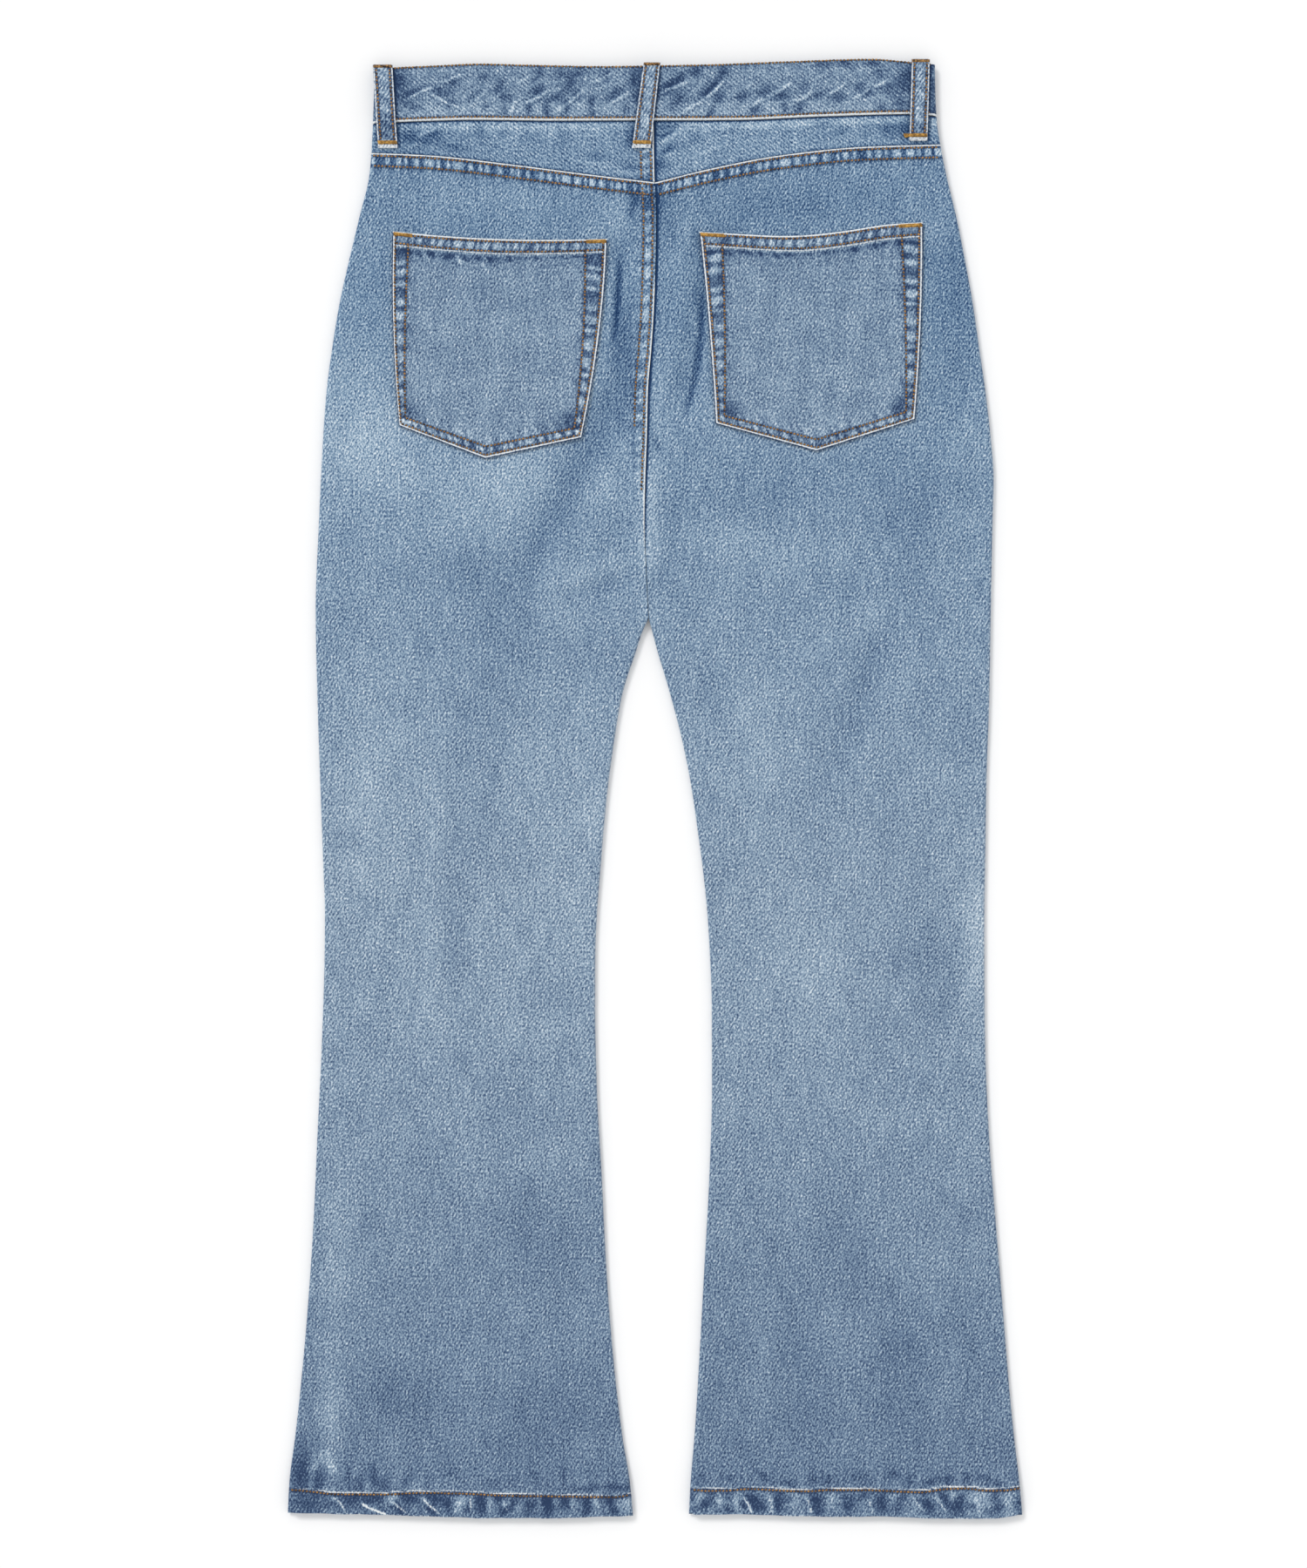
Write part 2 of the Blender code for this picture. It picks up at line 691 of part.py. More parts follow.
def drape(surface, x, y, reach):
    """Height of cloth that bridges the dips of the surface it lies on."""
    around = np.linspace(-reach, reach, 3)
    xs, ys = np.meshgrid(x + around, y + around)
    return float(surface(xs.ravel(), ys.ravel()).max())


def pocket(shape):
    """A five-sided patch pocket that lies on its back panel, with turned edges and a hem."""
    near = (0.0, 1.0, POCKET_RIM_WIDTH, POCKET_RIM_WIDTH + POCKET_RIM_SLOPE)
    inside = np.linspace(near[-1], POCKET_SIZE - near[-1], POCKET_COLUMNS + 1)[1:-1]
    spread = list(near) + list(inside) + [POCKET_SIZE - d for d in near[::-1]]
    rows = []
    cloth = []
    for down in spread:
        v = down / POCKET_SIZE
        row = []
        layers = []
        for across in spread:
            u = across / POCKET_SIZE
            top = bend(shape.top_left, shape.top, shape.top_right, u)
            left = bend(shape.top_left, shape.left, shape.bottom_left, v)
            right = bend(shape.top_right, shape.right, shape.bottom_right, v)
            half = 2 * min(u, 1 - u)
            corner = shape.bottom_left if u < 0.5 else shape.bottom_right
            bottom = [corner[k] + half * (shape.point[k] - corner[k]) for k in range(2)]
            square = [(1 - v) * ((1 - u) * shape.top_left[k] + u * shape.top_right[k])
                      + v * ((1 - u) * shape.bottom_left[k] + u * shape.bottom_right[k]) for k in range(2)]
            x, y = [(1 - v) * top[k] + v * bottom[k] + (1 - u) * left[k] + u * right[k] - square[k]
                    for k in range(2)]
            rim = min(across, POCKET_SIZE - across, POCKET_SIZE - down)
            thick = CLOTH + POCKET_RIM * (rim <= POCKET_RIM_WIDTH)
            thick = max(thick, CLOTH + POCKET_HEM * (down <= POCKET_RIM_WIDTH))
            z = drape(back_outer, x, y, DRAPE_REACH) + LAY_GAP + thick
            row.append((x, y, z))
            layers.append(thick)
        rows.append(row)
        cloth.append(layers)
    return sheet(shape.name, rows, cloth, DENIM_EDGE)


def belt_loop(loop):
    """A strip that hooks over the waistband's top edge and is sewn down below it."""
    offsets = (-LOOP_WIDTH / 2, LOOP_EDGE - LOOP_WIDTH / 2, LOOP_WIDTH / 2 - LOOP_EDGE, LOOP_WIDTH / 2)
    stand = LAY_GAP + LOOP_CLOTH
    y_top = float(max(smooth(WAIST_TOP, "y", loop.x_top + offset) for offset in offsets)) + SEAM_GAP / 3
    hook = [(y_top + LOOP_HOOK, LOOP_TIP)]
    for turn in LOOP_HOOK_TURNS:
        angle = math.radians(turn)
        hook.append((y_top + LOOP_HOOK * math.cos(angle), stand + LOOP_HOOK * (math.sin(angle) - 1)))
    levels = [y_top - drop for drop in LOOP_ROWS] + list(LOOP_LOW_ROWS) + [loop.y_bottom + 1.0, loop.y_bottom]
    flat = [(y, stand) for y in levels]

    def on_yoke(x, y):
        return back_outer(x, y) + lap(np.abs(x - inner_left(y)))

    rows = []
    for y, height in hook + flat:
        share = (y_top - y) / (y_top - loop.y_bottom)
        middle = loop.x_top + share * (loop.x_bottom - loop.x_top)
        row = []
        for k, offset in enumerate(offsets):
            x = middle + offset
            down = 1 - float(step(*LOOP_DOWN, y))
            yoke_level = drape(on_yoke, x, min(y, LOOP_LIE_Y), DRAPE_REACH)
            level = (1 - down) * float(band_outer(x)) + down * yoke_level
            along = min(max((y_top - y) / (y_top - LOOP_ARCH_END), 0), 1)
            arch = LOOP_ARCH * math.sin(math.pi * along)
            edge = LOOP_EDGE_DROP if k in (0, len(offsets) - 1) and y < y_top else 0.0
            row.append((x, y, level + height + arch - edge))
        rows.append(row)
    return sheet(loop.name, rows, LOOP_CLOTH, DENIM_EDGE)


def front_loop(name, x):
    """A plain belt loop under the front of the waistband."""
    bm = bmesh.new()
    bmesh.ops.create_cube(bm, size=1.0)
    bmesh.ops.scale(bm, vec=[MM * size for size in FRONT_LOOP_SIZE], verts=bm.verts)
    middle = in_metres((x, FRONT_LOOP_Y, FRONT_LOOP_SIZE[2] / 2))
    bmesh.ops.translate(bm, vec=middle, verts=bm.verts)
    mesh = bpy.data.meshes.new(name)
    bm.to_mesh(mesh)
    bm.free()
    piece = add_object(name, mesh, DENIM_EDGE)
    rounding = piece.modifiers.new("Edge", "BEVEL")
    rounding.width = FRONT_LOOP_ROUNDING * MM
    rounding.segments = 2
    return piece


def fly_shield():
    """The strip that lies between front and back, behind the closed fly."""
    rows = []
    for strip in FLY_SHIELD:
        xs = np.linspace(strip.left, strip.right, SHIELD_COLUMNS + 1)
        ys = np.full_like(xs, strip.y)
        zs = front_outer(xs, ys) + CLOTH + SEAM_GAP + SHIELD_CLOTH
        rows.append(list(zip(xs, ys, zs)))
    return sheet("fly_shield", rows, SHIELD_CLOTH, DENIM)


def waist_button():
    """The metal button on the waistband's front, turned from its profile."""
    mesh = bpy.data.meshes.new("waist_button")
    points = [(r * MM, 0.0, z * MM) for r, z in BUTTON_PROFILE]
    mesh.from_pydata(points, [(k, k + 1) for k in range(len(points) - 1)], [])
    piece = add_object("waist_button", mesh, METAL, roughness=0.35, metallic=1.0)
    piece.location = in_metres((BUTTON_X, BUTTON_Y, 0.0))
    turn = piece.modifiers.new("Turn", "SCREW")
    turn.axis = "Z"
    turn.steps = BUTTON_SIDES
    turn.render_steps = BUTTON_SIDES
    turn.use_merge_vertices = True
    turn.merge_threshold = MERGE
    return piece


def build():
    """Make every piece of the jeans."""
    for old in list(bpy.data.objects):
        bpy.data.objects.remove(old)
    left_side = Edge(side_left, fully, fully)
    left_inner = Edge(inner_left, leg_roll, leg_squeeze)
    right_inner = Edge(inner_right, leg_roll, leg_squeeze)
    right_side = Edge(side_right, fully, fully)
    back_panel("back_left", YOKE_SEAM_LEFT, left_side, left_inner, True)
    back_panel("back_right", YOKE_SEAM_RIGHT, right_inner, right_side, False)
    yoke("yoke_left", YOKE_SEAM_LEFT, left_side, left_inner, True)
    yoke("yoke_right", YOKE_SEAM_RIGHT, right_inner, right_side, False)
    front_panel("front_left", left_side, left_inner)
    front_panel("front_right", right_inner, right_side)
    waistband()
    for shape in POCKETS:
        pocket(shape)
    for loop in LOOPS:
        belt_loop(loop)
    front_loop("belt_loop_front_left", -FRONT_LOOP_X)
    front_loop("belt_loop_front_right", FRONT_LOOP_X)
    fly_shield()
    waist_button()


build()
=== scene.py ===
import math

import bpy
import numpy as np
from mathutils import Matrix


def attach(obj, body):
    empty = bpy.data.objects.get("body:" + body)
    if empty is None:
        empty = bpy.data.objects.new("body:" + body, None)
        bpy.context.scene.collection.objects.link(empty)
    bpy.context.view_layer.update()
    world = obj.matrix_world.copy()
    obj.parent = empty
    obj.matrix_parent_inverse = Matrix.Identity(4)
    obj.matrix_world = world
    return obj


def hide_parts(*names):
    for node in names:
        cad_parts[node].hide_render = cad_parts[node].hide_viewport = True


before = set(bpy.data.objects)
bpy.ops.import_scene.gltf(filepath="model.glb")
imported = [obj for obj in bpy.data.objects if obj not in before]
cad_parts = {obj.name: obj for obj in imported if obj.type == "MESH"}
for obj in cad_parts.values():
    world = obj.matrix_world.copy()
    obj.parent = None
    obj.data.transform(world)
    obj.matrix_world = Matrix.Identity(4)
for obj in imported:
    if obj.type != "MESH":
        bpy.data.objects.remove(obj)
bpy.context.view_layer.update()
print("Frame loaded:", len(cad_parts), "solids")

mm = 0.001
middle = (-0.14, 0.93)          # where the tables have the middle of the whole
rng = np.random.default_rng(41)

# What is sewn, as the solids have it
sewn = dict(
    cloth=1.2, hemCloth=2.4, bandCloth=2.6, loopCloth=1.6, shieldCloth=1.0,
    seamGap=0.3,                # between pieces sewn edge to edge
    layGap=0.45,                # under a piece that lies on a panel
    lapRise=0.9, lapWidth=9.2, lapEnd=10.6,     # the felled seams
    hemDepth=16.0,
    lip=0.35,                   # upright strip at a folded side edge
    frontRaise=0.3,             # the front's face stands this far off the floor, on its stitching
)

# The waist, as the solids have it
waist = dict(
    half=194.0,                 # half its width
    top=500.0,
    height=38.0,                # of the waistband
    frontLevel=452.0,           # mean place of the front's seam
    dip=16.0,                   # how much lower the front lies at its middle
    frontRise=1.9,              # how far the front's face is held up there
    buttonLift=2.0, buttonReach=45.0,           # the button lifts the cloth about it
)

# The flat outline: y, left edge, right edge
sides = (
    (503, -193.4, 192.6), (485, -193.6, 192.8), (461, -194.4, 193.9), (443, -195.2, 196.6),
    (424, -196.9, 200.4), (394, -204.0, 207.6), (364, -211.2, 213.6), (334, -217.8, 219.0),
    (304, -222.7, 223.3), (274, -226.6, 227.6), (244, -228.8, 231.0), (214, -230.4, 233.2),
    (184, -231.8, 232.4), (124, -234.0, 231.2), (64, -232.8, 230.2), (4, -230.8, 228.2),
    (-56, -228.6, 227.3), (-86, -227.6, 226.8), (-116, -227.9, 226.8), (-176, -229.8, 227.4),
    (-236, -232.7, 229.9), (-296, -235.4, 234.5), (-356, -239.4, 239.4), (-416, -244.8, 244.3),
    (-446, -248.2, 247.3), (-476, -252.0, 250.8), (-503, -253.4, 253.2),
)
inseams = (
    (118, -4.75, -4.45), (109, -9.0, -2.0), (94, -13.8, 2.0), (79, -19.0, 6.6), (64, -23.2, 10.9),
    (34, -28.3, 18.6), (4, -32.4, 24.6), (-26, -35.4, 29.0), (-56, -37.9, 33.0), (-86, -40.2, 36.0),
    (-116, -41.4, 37.8), (-146, -41.5, 38.9), (-206, -40.2, 39.1), (-266, -36.9, 37.3),
    (-326, -33.9, 34.0), (-386, -29.4, 30.7), (-446, -22.6, 27.0), (-476, -17.6, 24.4),
    (-503, -15.0, 23.0),
)
# The seat seam: y, x
seatSeam = (
    (465, -1.2), (424, -0.5), (394, 0.7), (364, 0.3), (334, -0.7), (304, -2.6), (274, -5.0),
    (244, -5.7), (214, -6.8), (184, -7.4), (154, -6.4), (118, -4.6),
)
crotchY = 118.0
# Lines across: x, y
waistTop = (
    (-196, 496.0), (-181, 497.3), (-151, 498.7), (-121, 500.0), (-91, 499.3), (-31, 498.1), (29, 499.1),
    (89, 501.5), (149, 503.3), (173, 501.4), (196, 499.2),
)
waistSeam = (
    (-196, 458.8), (-156, 460.6), (-126, 461.3), (-66, 460.7), (4, 460.7), (58, 461.2), (114, 463.6),
    (175, 465.2), (196, 463.8),
)
yokeSeamLeft = ((-198, 438.8), (-155, 436.9), (-98, 430.6), (-41, 423.2), (0, 418.2))
yokeSeamRight = ((0, 418.2), (43, 428.8), (86, 436.9), (143, 442.8), (200, 444.6))
hemLine = (
    (-254, -498.2), (-194, -498.6), (-110, -501.4), (-12, -500.0), (24, -498.8), (110, -499.8),
    (230, -501.4), (254, -499.4),
)
hemMean = -499.6

# Heights along the length: y, z
backLevels = (
    (503, 6.3), (461, 6.3), (440, 6.2), (410, 5.9), (370, 5.7), (300, 5.7), (200, 5.5), (118, 5.2),
    (40, 4.9), (-100, 4.8), (-455, 4.7), (-484, 6.3), (-503, 6.3),
)
foldLevels = (
    (503, 4.2), (461, 4.2), (440, 4.0), (400, 3.0), (360, 2.5), (100, 2.3), (-455, 2.2), (-484, 3.1),
    (-503, 3.1),
)

# Soft folds of the back, as the solids have them: three points of each, its half width and height,
# and how much paler (+) or darker (-) they are painted: painted shade in the troughs and painted light on the
# ridges, with some of the wash's own fading
folds = (
    (-24, 392, -25, 335, -20, 276, 9, -1.5, -0.30), (-24, 372, -26, 336, -29, 304, 2.3, -0.8, -0.95),
    (-13, 415, -15, 405, -18, 391, 3.2, -0.5, -0.70), (-14, 292, -52, 226, -108, 112, 15, -1.8, -0.36),
    (29, 392, 31, 330, 12, 240, 10, -1.5, -0.24), (31, 356, 30, 300, 18, 250, 2.6, -0.9, -0.75),
    (-2, 244, 1, 239, 4, 231, 2.4, -0.5, -0.50), (14, 384, 19, 335, 9, 270, 8, 0.7, 0.12),
    (-4, 232, -5, 190, -5, 138, 9, 0.8, 0.34), (-66, 128, -42, 139, -14, 143, 8, -0.9, -0.14),
    (-60, 142, -38, 153, -12, 158, 8, 0.6, 0.16), (162, 124, 138, 58, 108, -8, 12, -1.2, -0.22),
    (28, 96, 42, 52, 62, 6, 12, -0.8, -0.10), (-154, 34, -153, -80, -155, -190, 10, 0.6, 0.14),
    (-222, -250, -224, -360, -221, -470, 10, 0.6, 0.14),
    (80, -300, 96, -380, 90, -470, 16, -0.8, -0.10),
    (-160, -330, -148, -400, -160, -474, 16, -0.8, -0.10),
    (186, -240, 192, -350, 204, -462, 14, 0.7, 0.08), (-60, -350, -52, -420, -62, -480, 14, 0.6, 0.06),
    (-216, 300, -196, 268, -170, 232, 14, -0.9, 0.0), (212, 292, 198, 262, 176, 226, 14, -0.8, -0.06),
)

# Broad clouds of the wash: place, half width, half height, paler (+) or darker (-)
washClouds = (
    (-199, 244, 36, 45, 0.29), (-115, 206, 42, 26, 0.20), (-124, 148, 14, 22, -0.22),
    (-109, 88, 20, 40, -0.12), (-67, 22, 30, 42, 0.12), (-42, -14, 14, 32, 0.14),
    (-67, -68, 30, 32, 0.12), (-142, -80, 14, 52, -0.09), (-193, -2, 34, 90, 0.17),
    (-97, -206, 30, 22, -0.08), (-79, -314, 38, 38, -0.14), (-67, -428, 42, 26, -0.18),
    (-184, -416, 24, 22, -0.18), (-223, -440, 9, 42, 0.24), (-214, -308, 11, 62, 0.16),
    (206, 334, 16, 48, -0.24), (176, 196, 22, 42, -0.18), (65, 169, 40, 18, 0.12),
    (89, 208, 62, 26, -0.10), (101, -116, 34, 52, 0.11), (221, -92, 11, 62, 0.24),
    (185, -128, 22, 52, -0.14), (65, 34, 26, 52, 0.14), (125, -320, 28, 32, -0.12),
    (179, -386, 32, 32, -0.14), (47, -356, 18, 52, -0.08), (-2, 404, 10, 11, -0.35),
    (17, 320, 14, 60, -0.13), (83, 402, 52, 11, -0.15), (-115, 409, 62, 12, 0.08),
    (-26, 395, 13, 20, 0.14), (22, 386, 8, 12, 0.06), (-20, 300, 8, 50, -0.20),
    (-238, -474, 22, 20, -0.25), (228, 300, 10, 60, -0.10), (60, 196, 30, 16, -0.06),
    (-120, -130, 70, 70, 0.05), (140, -440, 120, 70, -0.05),
)
# The wash down the length: y, paler (+) or darker (-)
washLevels = (
    (503, -0.15), (440, -0.07), (400, -0.03), (330, 0.02), (250, 0.07), (100, 0.04), (-100, 0.06),
    (-200, 0.04), (-280, -0.05), (-360, -0.10), (-440, -0.18), (-476, -0.26), (-503, -0.30),
)

def smooth(table, at, column=1):    # a column of a table as a smooth curve of its first column
    rows = np.array(sorted(table), dtype=float)
    xs, ys = rows[:, 0], rows[:, column]
    rises = np.diff(ys) / np.diff(xs)
    sameWay = rises[1:] * rises[:-1] > 0
    totals = np.where(sameWay, rises[1:] + rises[:-1], 1.0)
    inner = np.where(sameWay, 2 * rises[1:] * rises[:-1] / totals, 0.0)
    slopes = np.concatenate(([rises[0]], inner, [rises[-1]]))
    at = np.clip(np.asarray(at, dtype=float), xs[0], xs[-1])
    i = np.clip(np.searchsorted(xs, at) - 1, 0, len(xs) - 2)
    width = xs[i + 1] - xs[i]
    t = (at - xs[i]) / width
    start = (1 + 2 * t) * (1 - t) ** 2 * ys[i] + t * (1 - t) ** 2 * width * slopes[i]
    end = t * t * (3 - 2 * t) * ys[i + 1] + t * t * (t - 1) * width * slopes[i + 1]
    return start + end


def rise(low, high, value):         # from 0 at low to 1 at high, without a kink
    t = np.clip((np.asarray(value, dtype=float) - low) / (high - low), 0.0, 1.0)
    return t * t * (3 - 2 * t)


def between(low, high, value, soft=0.6):
    return rise(low - soft, low + soft, value) * (1 - rise(high - soft, high + soft, value))


def bell(value, reach):
    return np.exp(-(np.asarray(value, dtype=float) / reach) ** 2)


def mottle(x, y, size, seed):       # soft uneven cloudiness from -1 to 1, out of crossed waves
    made = np.random.default_rng(seed)
    total = np.zeros(np.broadcast(x, y).shape)
    for k in range(7):
        angle = made.uniform(0, math.pi)
        turns = 2 * math.pi / (size * made.uniform(0.6, 1.8))
        total += np.sin(turns * (x * math.cos(angle) + y * math.sin(angle)) + made.uniform(0, 6.28))
    return np.tanh(total / 2.6)


def strokes(table, x, y):           # height and paleness of folds and creases, each dying away at its ends; on the back's soft folds the paleness holds painted shade and light
    height = np.zeros(np.broadcast(x, y).shape)
    pale = np.zeros_like(height)
    for row in table:
        *places, reach, rises, wearAndShade = row
        if len(places) == 4:
            x0, y0, x2, y2 = places
            x1, y1 = (x0 + x2) / 2, (y0 + y2) / 2
        else:
            x0, y0, x1, y1, x2, y2 = places
        margin = 5 * reach
        near = ((x > min(x0, x1, x2) - margin) & (x < max(x0, x1, x2) + margin)
                & (y > min(y0, y1, y2) - margin) & (y < max(y0, y1, y2) + margin))
        if not near.any():
            continue
        px, py = x[near], y[near]
        t = np.linspace(0, 1, 11)
        cx = 2 * (t - 0.5) * (t - 1) * x0 + 4 * t * (1 - t) * x1 + 2 * t * (t - 0.5) * x2
        cy = 2 * (t - 0.5) * (t - 1) * y0 + 4 * t * (1 - t) * y1 + 2 * t * (t - 0.5) * y2
        nearest = np.full(px.shape, np.inf)
        place = np.zeros(px.shape)
        for k in range(10):
            dx, dy = cx[k + 1] - cx[k], cy[k + 1] - cy[k]
            along = np.clip(((px - cx[k]) * dx + (py - cy[k]) * dy) / (dx * dx + dy * dy), 0, 1)
            distance = np.hypot(px - cx[k] - along * dx, py - cy[k] - along * dy)
            place = np.where(distance < nearest, (k + along) / 10, place)
            nearest = np.minimum(distance, nearest)
        fade = rise(0, 0.22, place) * rise(0, 0.22, 1 - place)
        height[near] += rises * fade * bell(nearest, reach)
        pale[near] += wearAndShade * fade * (bell(nearest, reach) - 0.35 * bell(nearest, 2.4 * reach))
    return height, pale


def patches(table, x, y):
    total = np.zeros(np.broadcast(x, y).shape)
    for cx, cy, half, reach, lean, amount in table:
        turn = math.radians(lean)
        alongIt = (x - cx) * math.cos(turn) + (y - cy) * math.sin(turn)
        overIt = (y - cy) * math.cos(turn) - (x - cx) * math.sin(turn)
        total += amount * np.exp(-(alongIt / half) ** 2 - (overIt / reach) ** 2)
    return total


def buttonLift(x):
    return waist["buttonLift"] * bell(x, waist["buttonReach"])


def frontDip(x):                    # the waist of the front lies lower than that of the back
    return waist["dip"] * (1 - (np.clip(x, -waist["half"], waist["half"]) / waist["half"]) ** 2)


def frontSeamY(x):
    return smooth(waistSeam, x) - frontDip(x)


def frontFace(x, y):
    lift = (waist["frontRise"] + buttonLift(x)) * (1 - rise(20, 60, frontSeamY(x) - y))
    return np.maximum(lift, sewn["frontRaise"])


def backFace(x, y):                 # the back's outer face without its raised seams
    top = smooth(backLevels, y) + 0.75 * buttonLift(x) * rise(375, 425, y) + strokes(folds, x, y)[0]
    shield = sewn["shieldCloth"] * (1 - rise(19, 24, np.abs(x))) * rise(200, 206, y)
    return np.maximum(top, frontFace(x, y) + 2 * sewn["cloth"] + sewn["seamGap"] + shield)


def lap(distance):
    return sewn["lapRise"] * (1 - rise(sewn["lapWidth"], sewn["lapEnd"], distance))


def bandFace(x):
    return waistband["backZ"] + buttonLift(x)


def leftSide(y):
    return smooth(sides, y, 1)


def rightSide(y):
    return smooth(sides, y, 2)


def innerLeft(y):                   # the left half's inner edge: the seat seam, then the inseam
    seat = smooth(seatSeam, y) - sewn["seamGap"] / 2
    return np.where(np.asarray(y) > crotchY, seat, smooth(inseams, y, 1))


def innerRight(y):
    seat = smooth(seatSeam, y) + sewn["seamGap"] / 2
    return np.where(np.asarray(y) > crotchY, seat, smooth(inseams, y, 2))


def legRoll(y):                     # 0 at the flat seat seam, 1 at the rolled inseam
    return 1 - rise(109, crotchY, y)


def legSqueeze(y):
    return 1 - rise(crotchY, 190, y)


def fully(y):
    return np.ones_like(np.asarray(y, dtype=float))


outerLeftEdge = dict(line=leftSide, roll=fully, squeeze=fully, inner=False)
outerRightEdge = dict(line=rightSide, roll=fully, squeeze=fully, inner=False)
innerLeftEdge = dict(line=innerLeft, roll=legRoll, squeeze=legSqueeze, inner=True)
innerRightEdge = dict(line=innerRight, roll=legRoll, squeeze=legSqueeze, inner=True)
# Columns in from an edge that lies flat. A rolled edge has as many, round its bend.
edgeFlat = np.array((0, 0.5, 1.1, 1.8, 2.6, 3.6, 4.6, 5.7, 6.8, 7.9, 8.8, 9.6, 10.6, 12.2, 14.0))


def edgeColumns(rowLine, rows, edge, surface, sign, inward):    # x, y, z of the columns beside one edge
    count = len(edgeFlat)
    y0 = rowLine(rows, edge["line"](rowLine(rows, np.zeros_like(rows))))
    x0 = edge["line"](y0)
    amount = edge["roll"](y0)[:, None]
    squeeze = edge["squeeze"](y0)[:, None]
    spread = 0.5 * rise(96, 109, y0) if edge["inner"] else 0.0      # the layers part towards the crotch
    rim = (smooth(foldLevels, y0) + sign * (sewn["seamGap"] / 2 + spread))[:, None]
    radius = sign * (surface(x0 + 2 * inward, y0)[:, None] - rim) - sewn["lip"]
    k = np.arange(count)
    turn = np.radians(90 * np.maximum(k - 1, 0) / (count - 2))
    closed = np.maximum(radius, sewn["cloth"]) * (1 - np.cos(turn)) + (1 - amount) * k / (count - 1)
    x = x0[:, None] + inward * ((1 - squeeze) * edgeFlat + squeeze * closed)
    y = rowLine(rows[:, None], x)
    rolled = rim + sign * (np.where(k > 0, sewn["lip"], 0.0) + radius * np.sin(turn))
    return x, y, amount * rolled + (1 - amount) * surface(x, y)


def columnShares(columns, split, innerLast):
    near = 0.24                     # the share of the width beside the seat seam, with 0.4 of the columns
    close = round(0.4 * columns)
    share = np.concatenate((np.linspace(0, near, close, endpoint=False),
                            np.linspace(near, 1, columns - close + 1)))
    if innerLast:
        share = 1 - share[::-1]
    return np.interp(np.arange(columns * split + 1) / split, np.arange(columns + 1), share)[1:-1]


def panelPlaces(rowLine, rows, left, right, share, surface, sign):
    rows = np.asarray(rows, dtype=float)
    start = edgeColumns(rowLine, rows, left, surface, sign, 1)
    end = edgeColumns(rowLine, rows, right, surface, sign, -1)
    x = start[0][:, -1:] * (1 - share) + end[0][:, -1:] * share
    y = rowLine(rows[:, None], x)
    inside = (x, y, surface(x, y))
    return [np.hstack((a, b, c[:, ::-1])) for a, b, c in zip(start, inside, end)]


def joinRows(first, widthA, widthB):    # faces from the row starting at first to the next, of another width
    few = min(widthA, widthB)
    margin = len(edgeFlat) - 1
    step = np.arange(few)

    def places(width):
        split = (width - 1 - 2 * margin) // (few - 1 - 2 * margin)
        inside = np.where(step < few - 1 - margin, margin + (step - margin) * split, width - few + step)
        return np.where(step <= margin, step, inside)

    top, low = first + places(widthA), first + widthA + places(widthB)
    return [[top[i], *range(low[i], low[i + 1] + 1), *range(top[i + 1], top[i], -1)]
            for i in range(few - 1)]


def spaced(*stretches):             # levels from stretches of (start, end, spacing)
    levels = []
    for start, end, spacing in stretches:
        count = max(1, round(abs(end - start) / spacing))
        levels += list(np.linspace(start, end, count, endpoint=False))
    return np.array(levels + [stretches[-1][1]])


# Nodes and materials
waveUnit = 0.31416                  # the wave texture's scale at which its bands lie one unit apart


def linear(hexColour):              # a screen colour as linear light
    parts = [int(hexColour[k:k + 2], 16) / 255 for k in (1, 3, 5)]
    return tuple(c / 12.92 if c <= 0.04045 else ((c + 0.055) / 1.055) ** 2.4 for c in parts) + (1.0,)


def addNode(tree, kind, settings=None, inputs=None):    # inputs are values or sockets
    node = tree.nodes.new(kind)
    for key, value in (settings or {}).items():
        setattr(node, key, value)
    for key, value in (inputs or {}).items():
        if isinstance(value, bpy.types.NodeSocket):
            tree.links.new(value, node.inputs[key])
        else:
            node.inputs[key].default_value = value
    return node


def startMaterial(name):
    made = bpy.data.materials.new(name)
    made.use_nodes = True
    return made, made.node_tree, made.node_tree.nodes["Principled BSDF"]


def mixColours(tree, share, first, second):
    return addNode(tree, "ShaderNodeMix", {"data_type": "RGBA"}, {
        "Factor": share, "A": first, "B": second}).outputs["Result"]


def addBump(tree, surface, height, depth):
    bump = addNode(tree, "ShaderNodeBump", {}, {"Height": height, "Strength": 0.5, "Distance": depth * mm})
    tree.links.new(bump.outputs["Normal"], surface.inputs["Normal"])


# Denim: indigo warp over white weft in a 3/1 twill, stone washed. The warp shows as slanted lines,
# the wash leaves raised threads white and sheltered ones dark, and slub yarn runs as streaks down the warp.
denimLook = dict(
    twillPitch=2.3,         # mm; real twill lines are about 1.2 mm apart, drawn coarser so that they show
    legSlant=58, crossSlant=-38,                # degrees, of the twill lines on legs and cross-cut pieces
    grainSize=1.1,          # mm, raised warp threads in ones and twos
    fleckWidth=0.9, fleckLength=2.4,            # the same threads, strung along the twill
    slubWidth=1.6, slubLength=22,
    cloudSize=16,
    grainAmount=1.12, fleckAmount=0.5, slubAmount=0.34, cloudAmount=0.06, wearAndShadeAmount=0.5,
    base=0.484,
    ramp=((0.0, "#21385b"), (0.2, "#40597b"), (0.45, "#6d859f"), (0.58, "#879eb4"), (0.8, "#b3c5d4"),
          (1.0, "#dfe7ec")),
    weft="#e6eaeb", weftFrom=1.1, weftFull=1.72,        # shows where the whitening of an edge is this strong
)


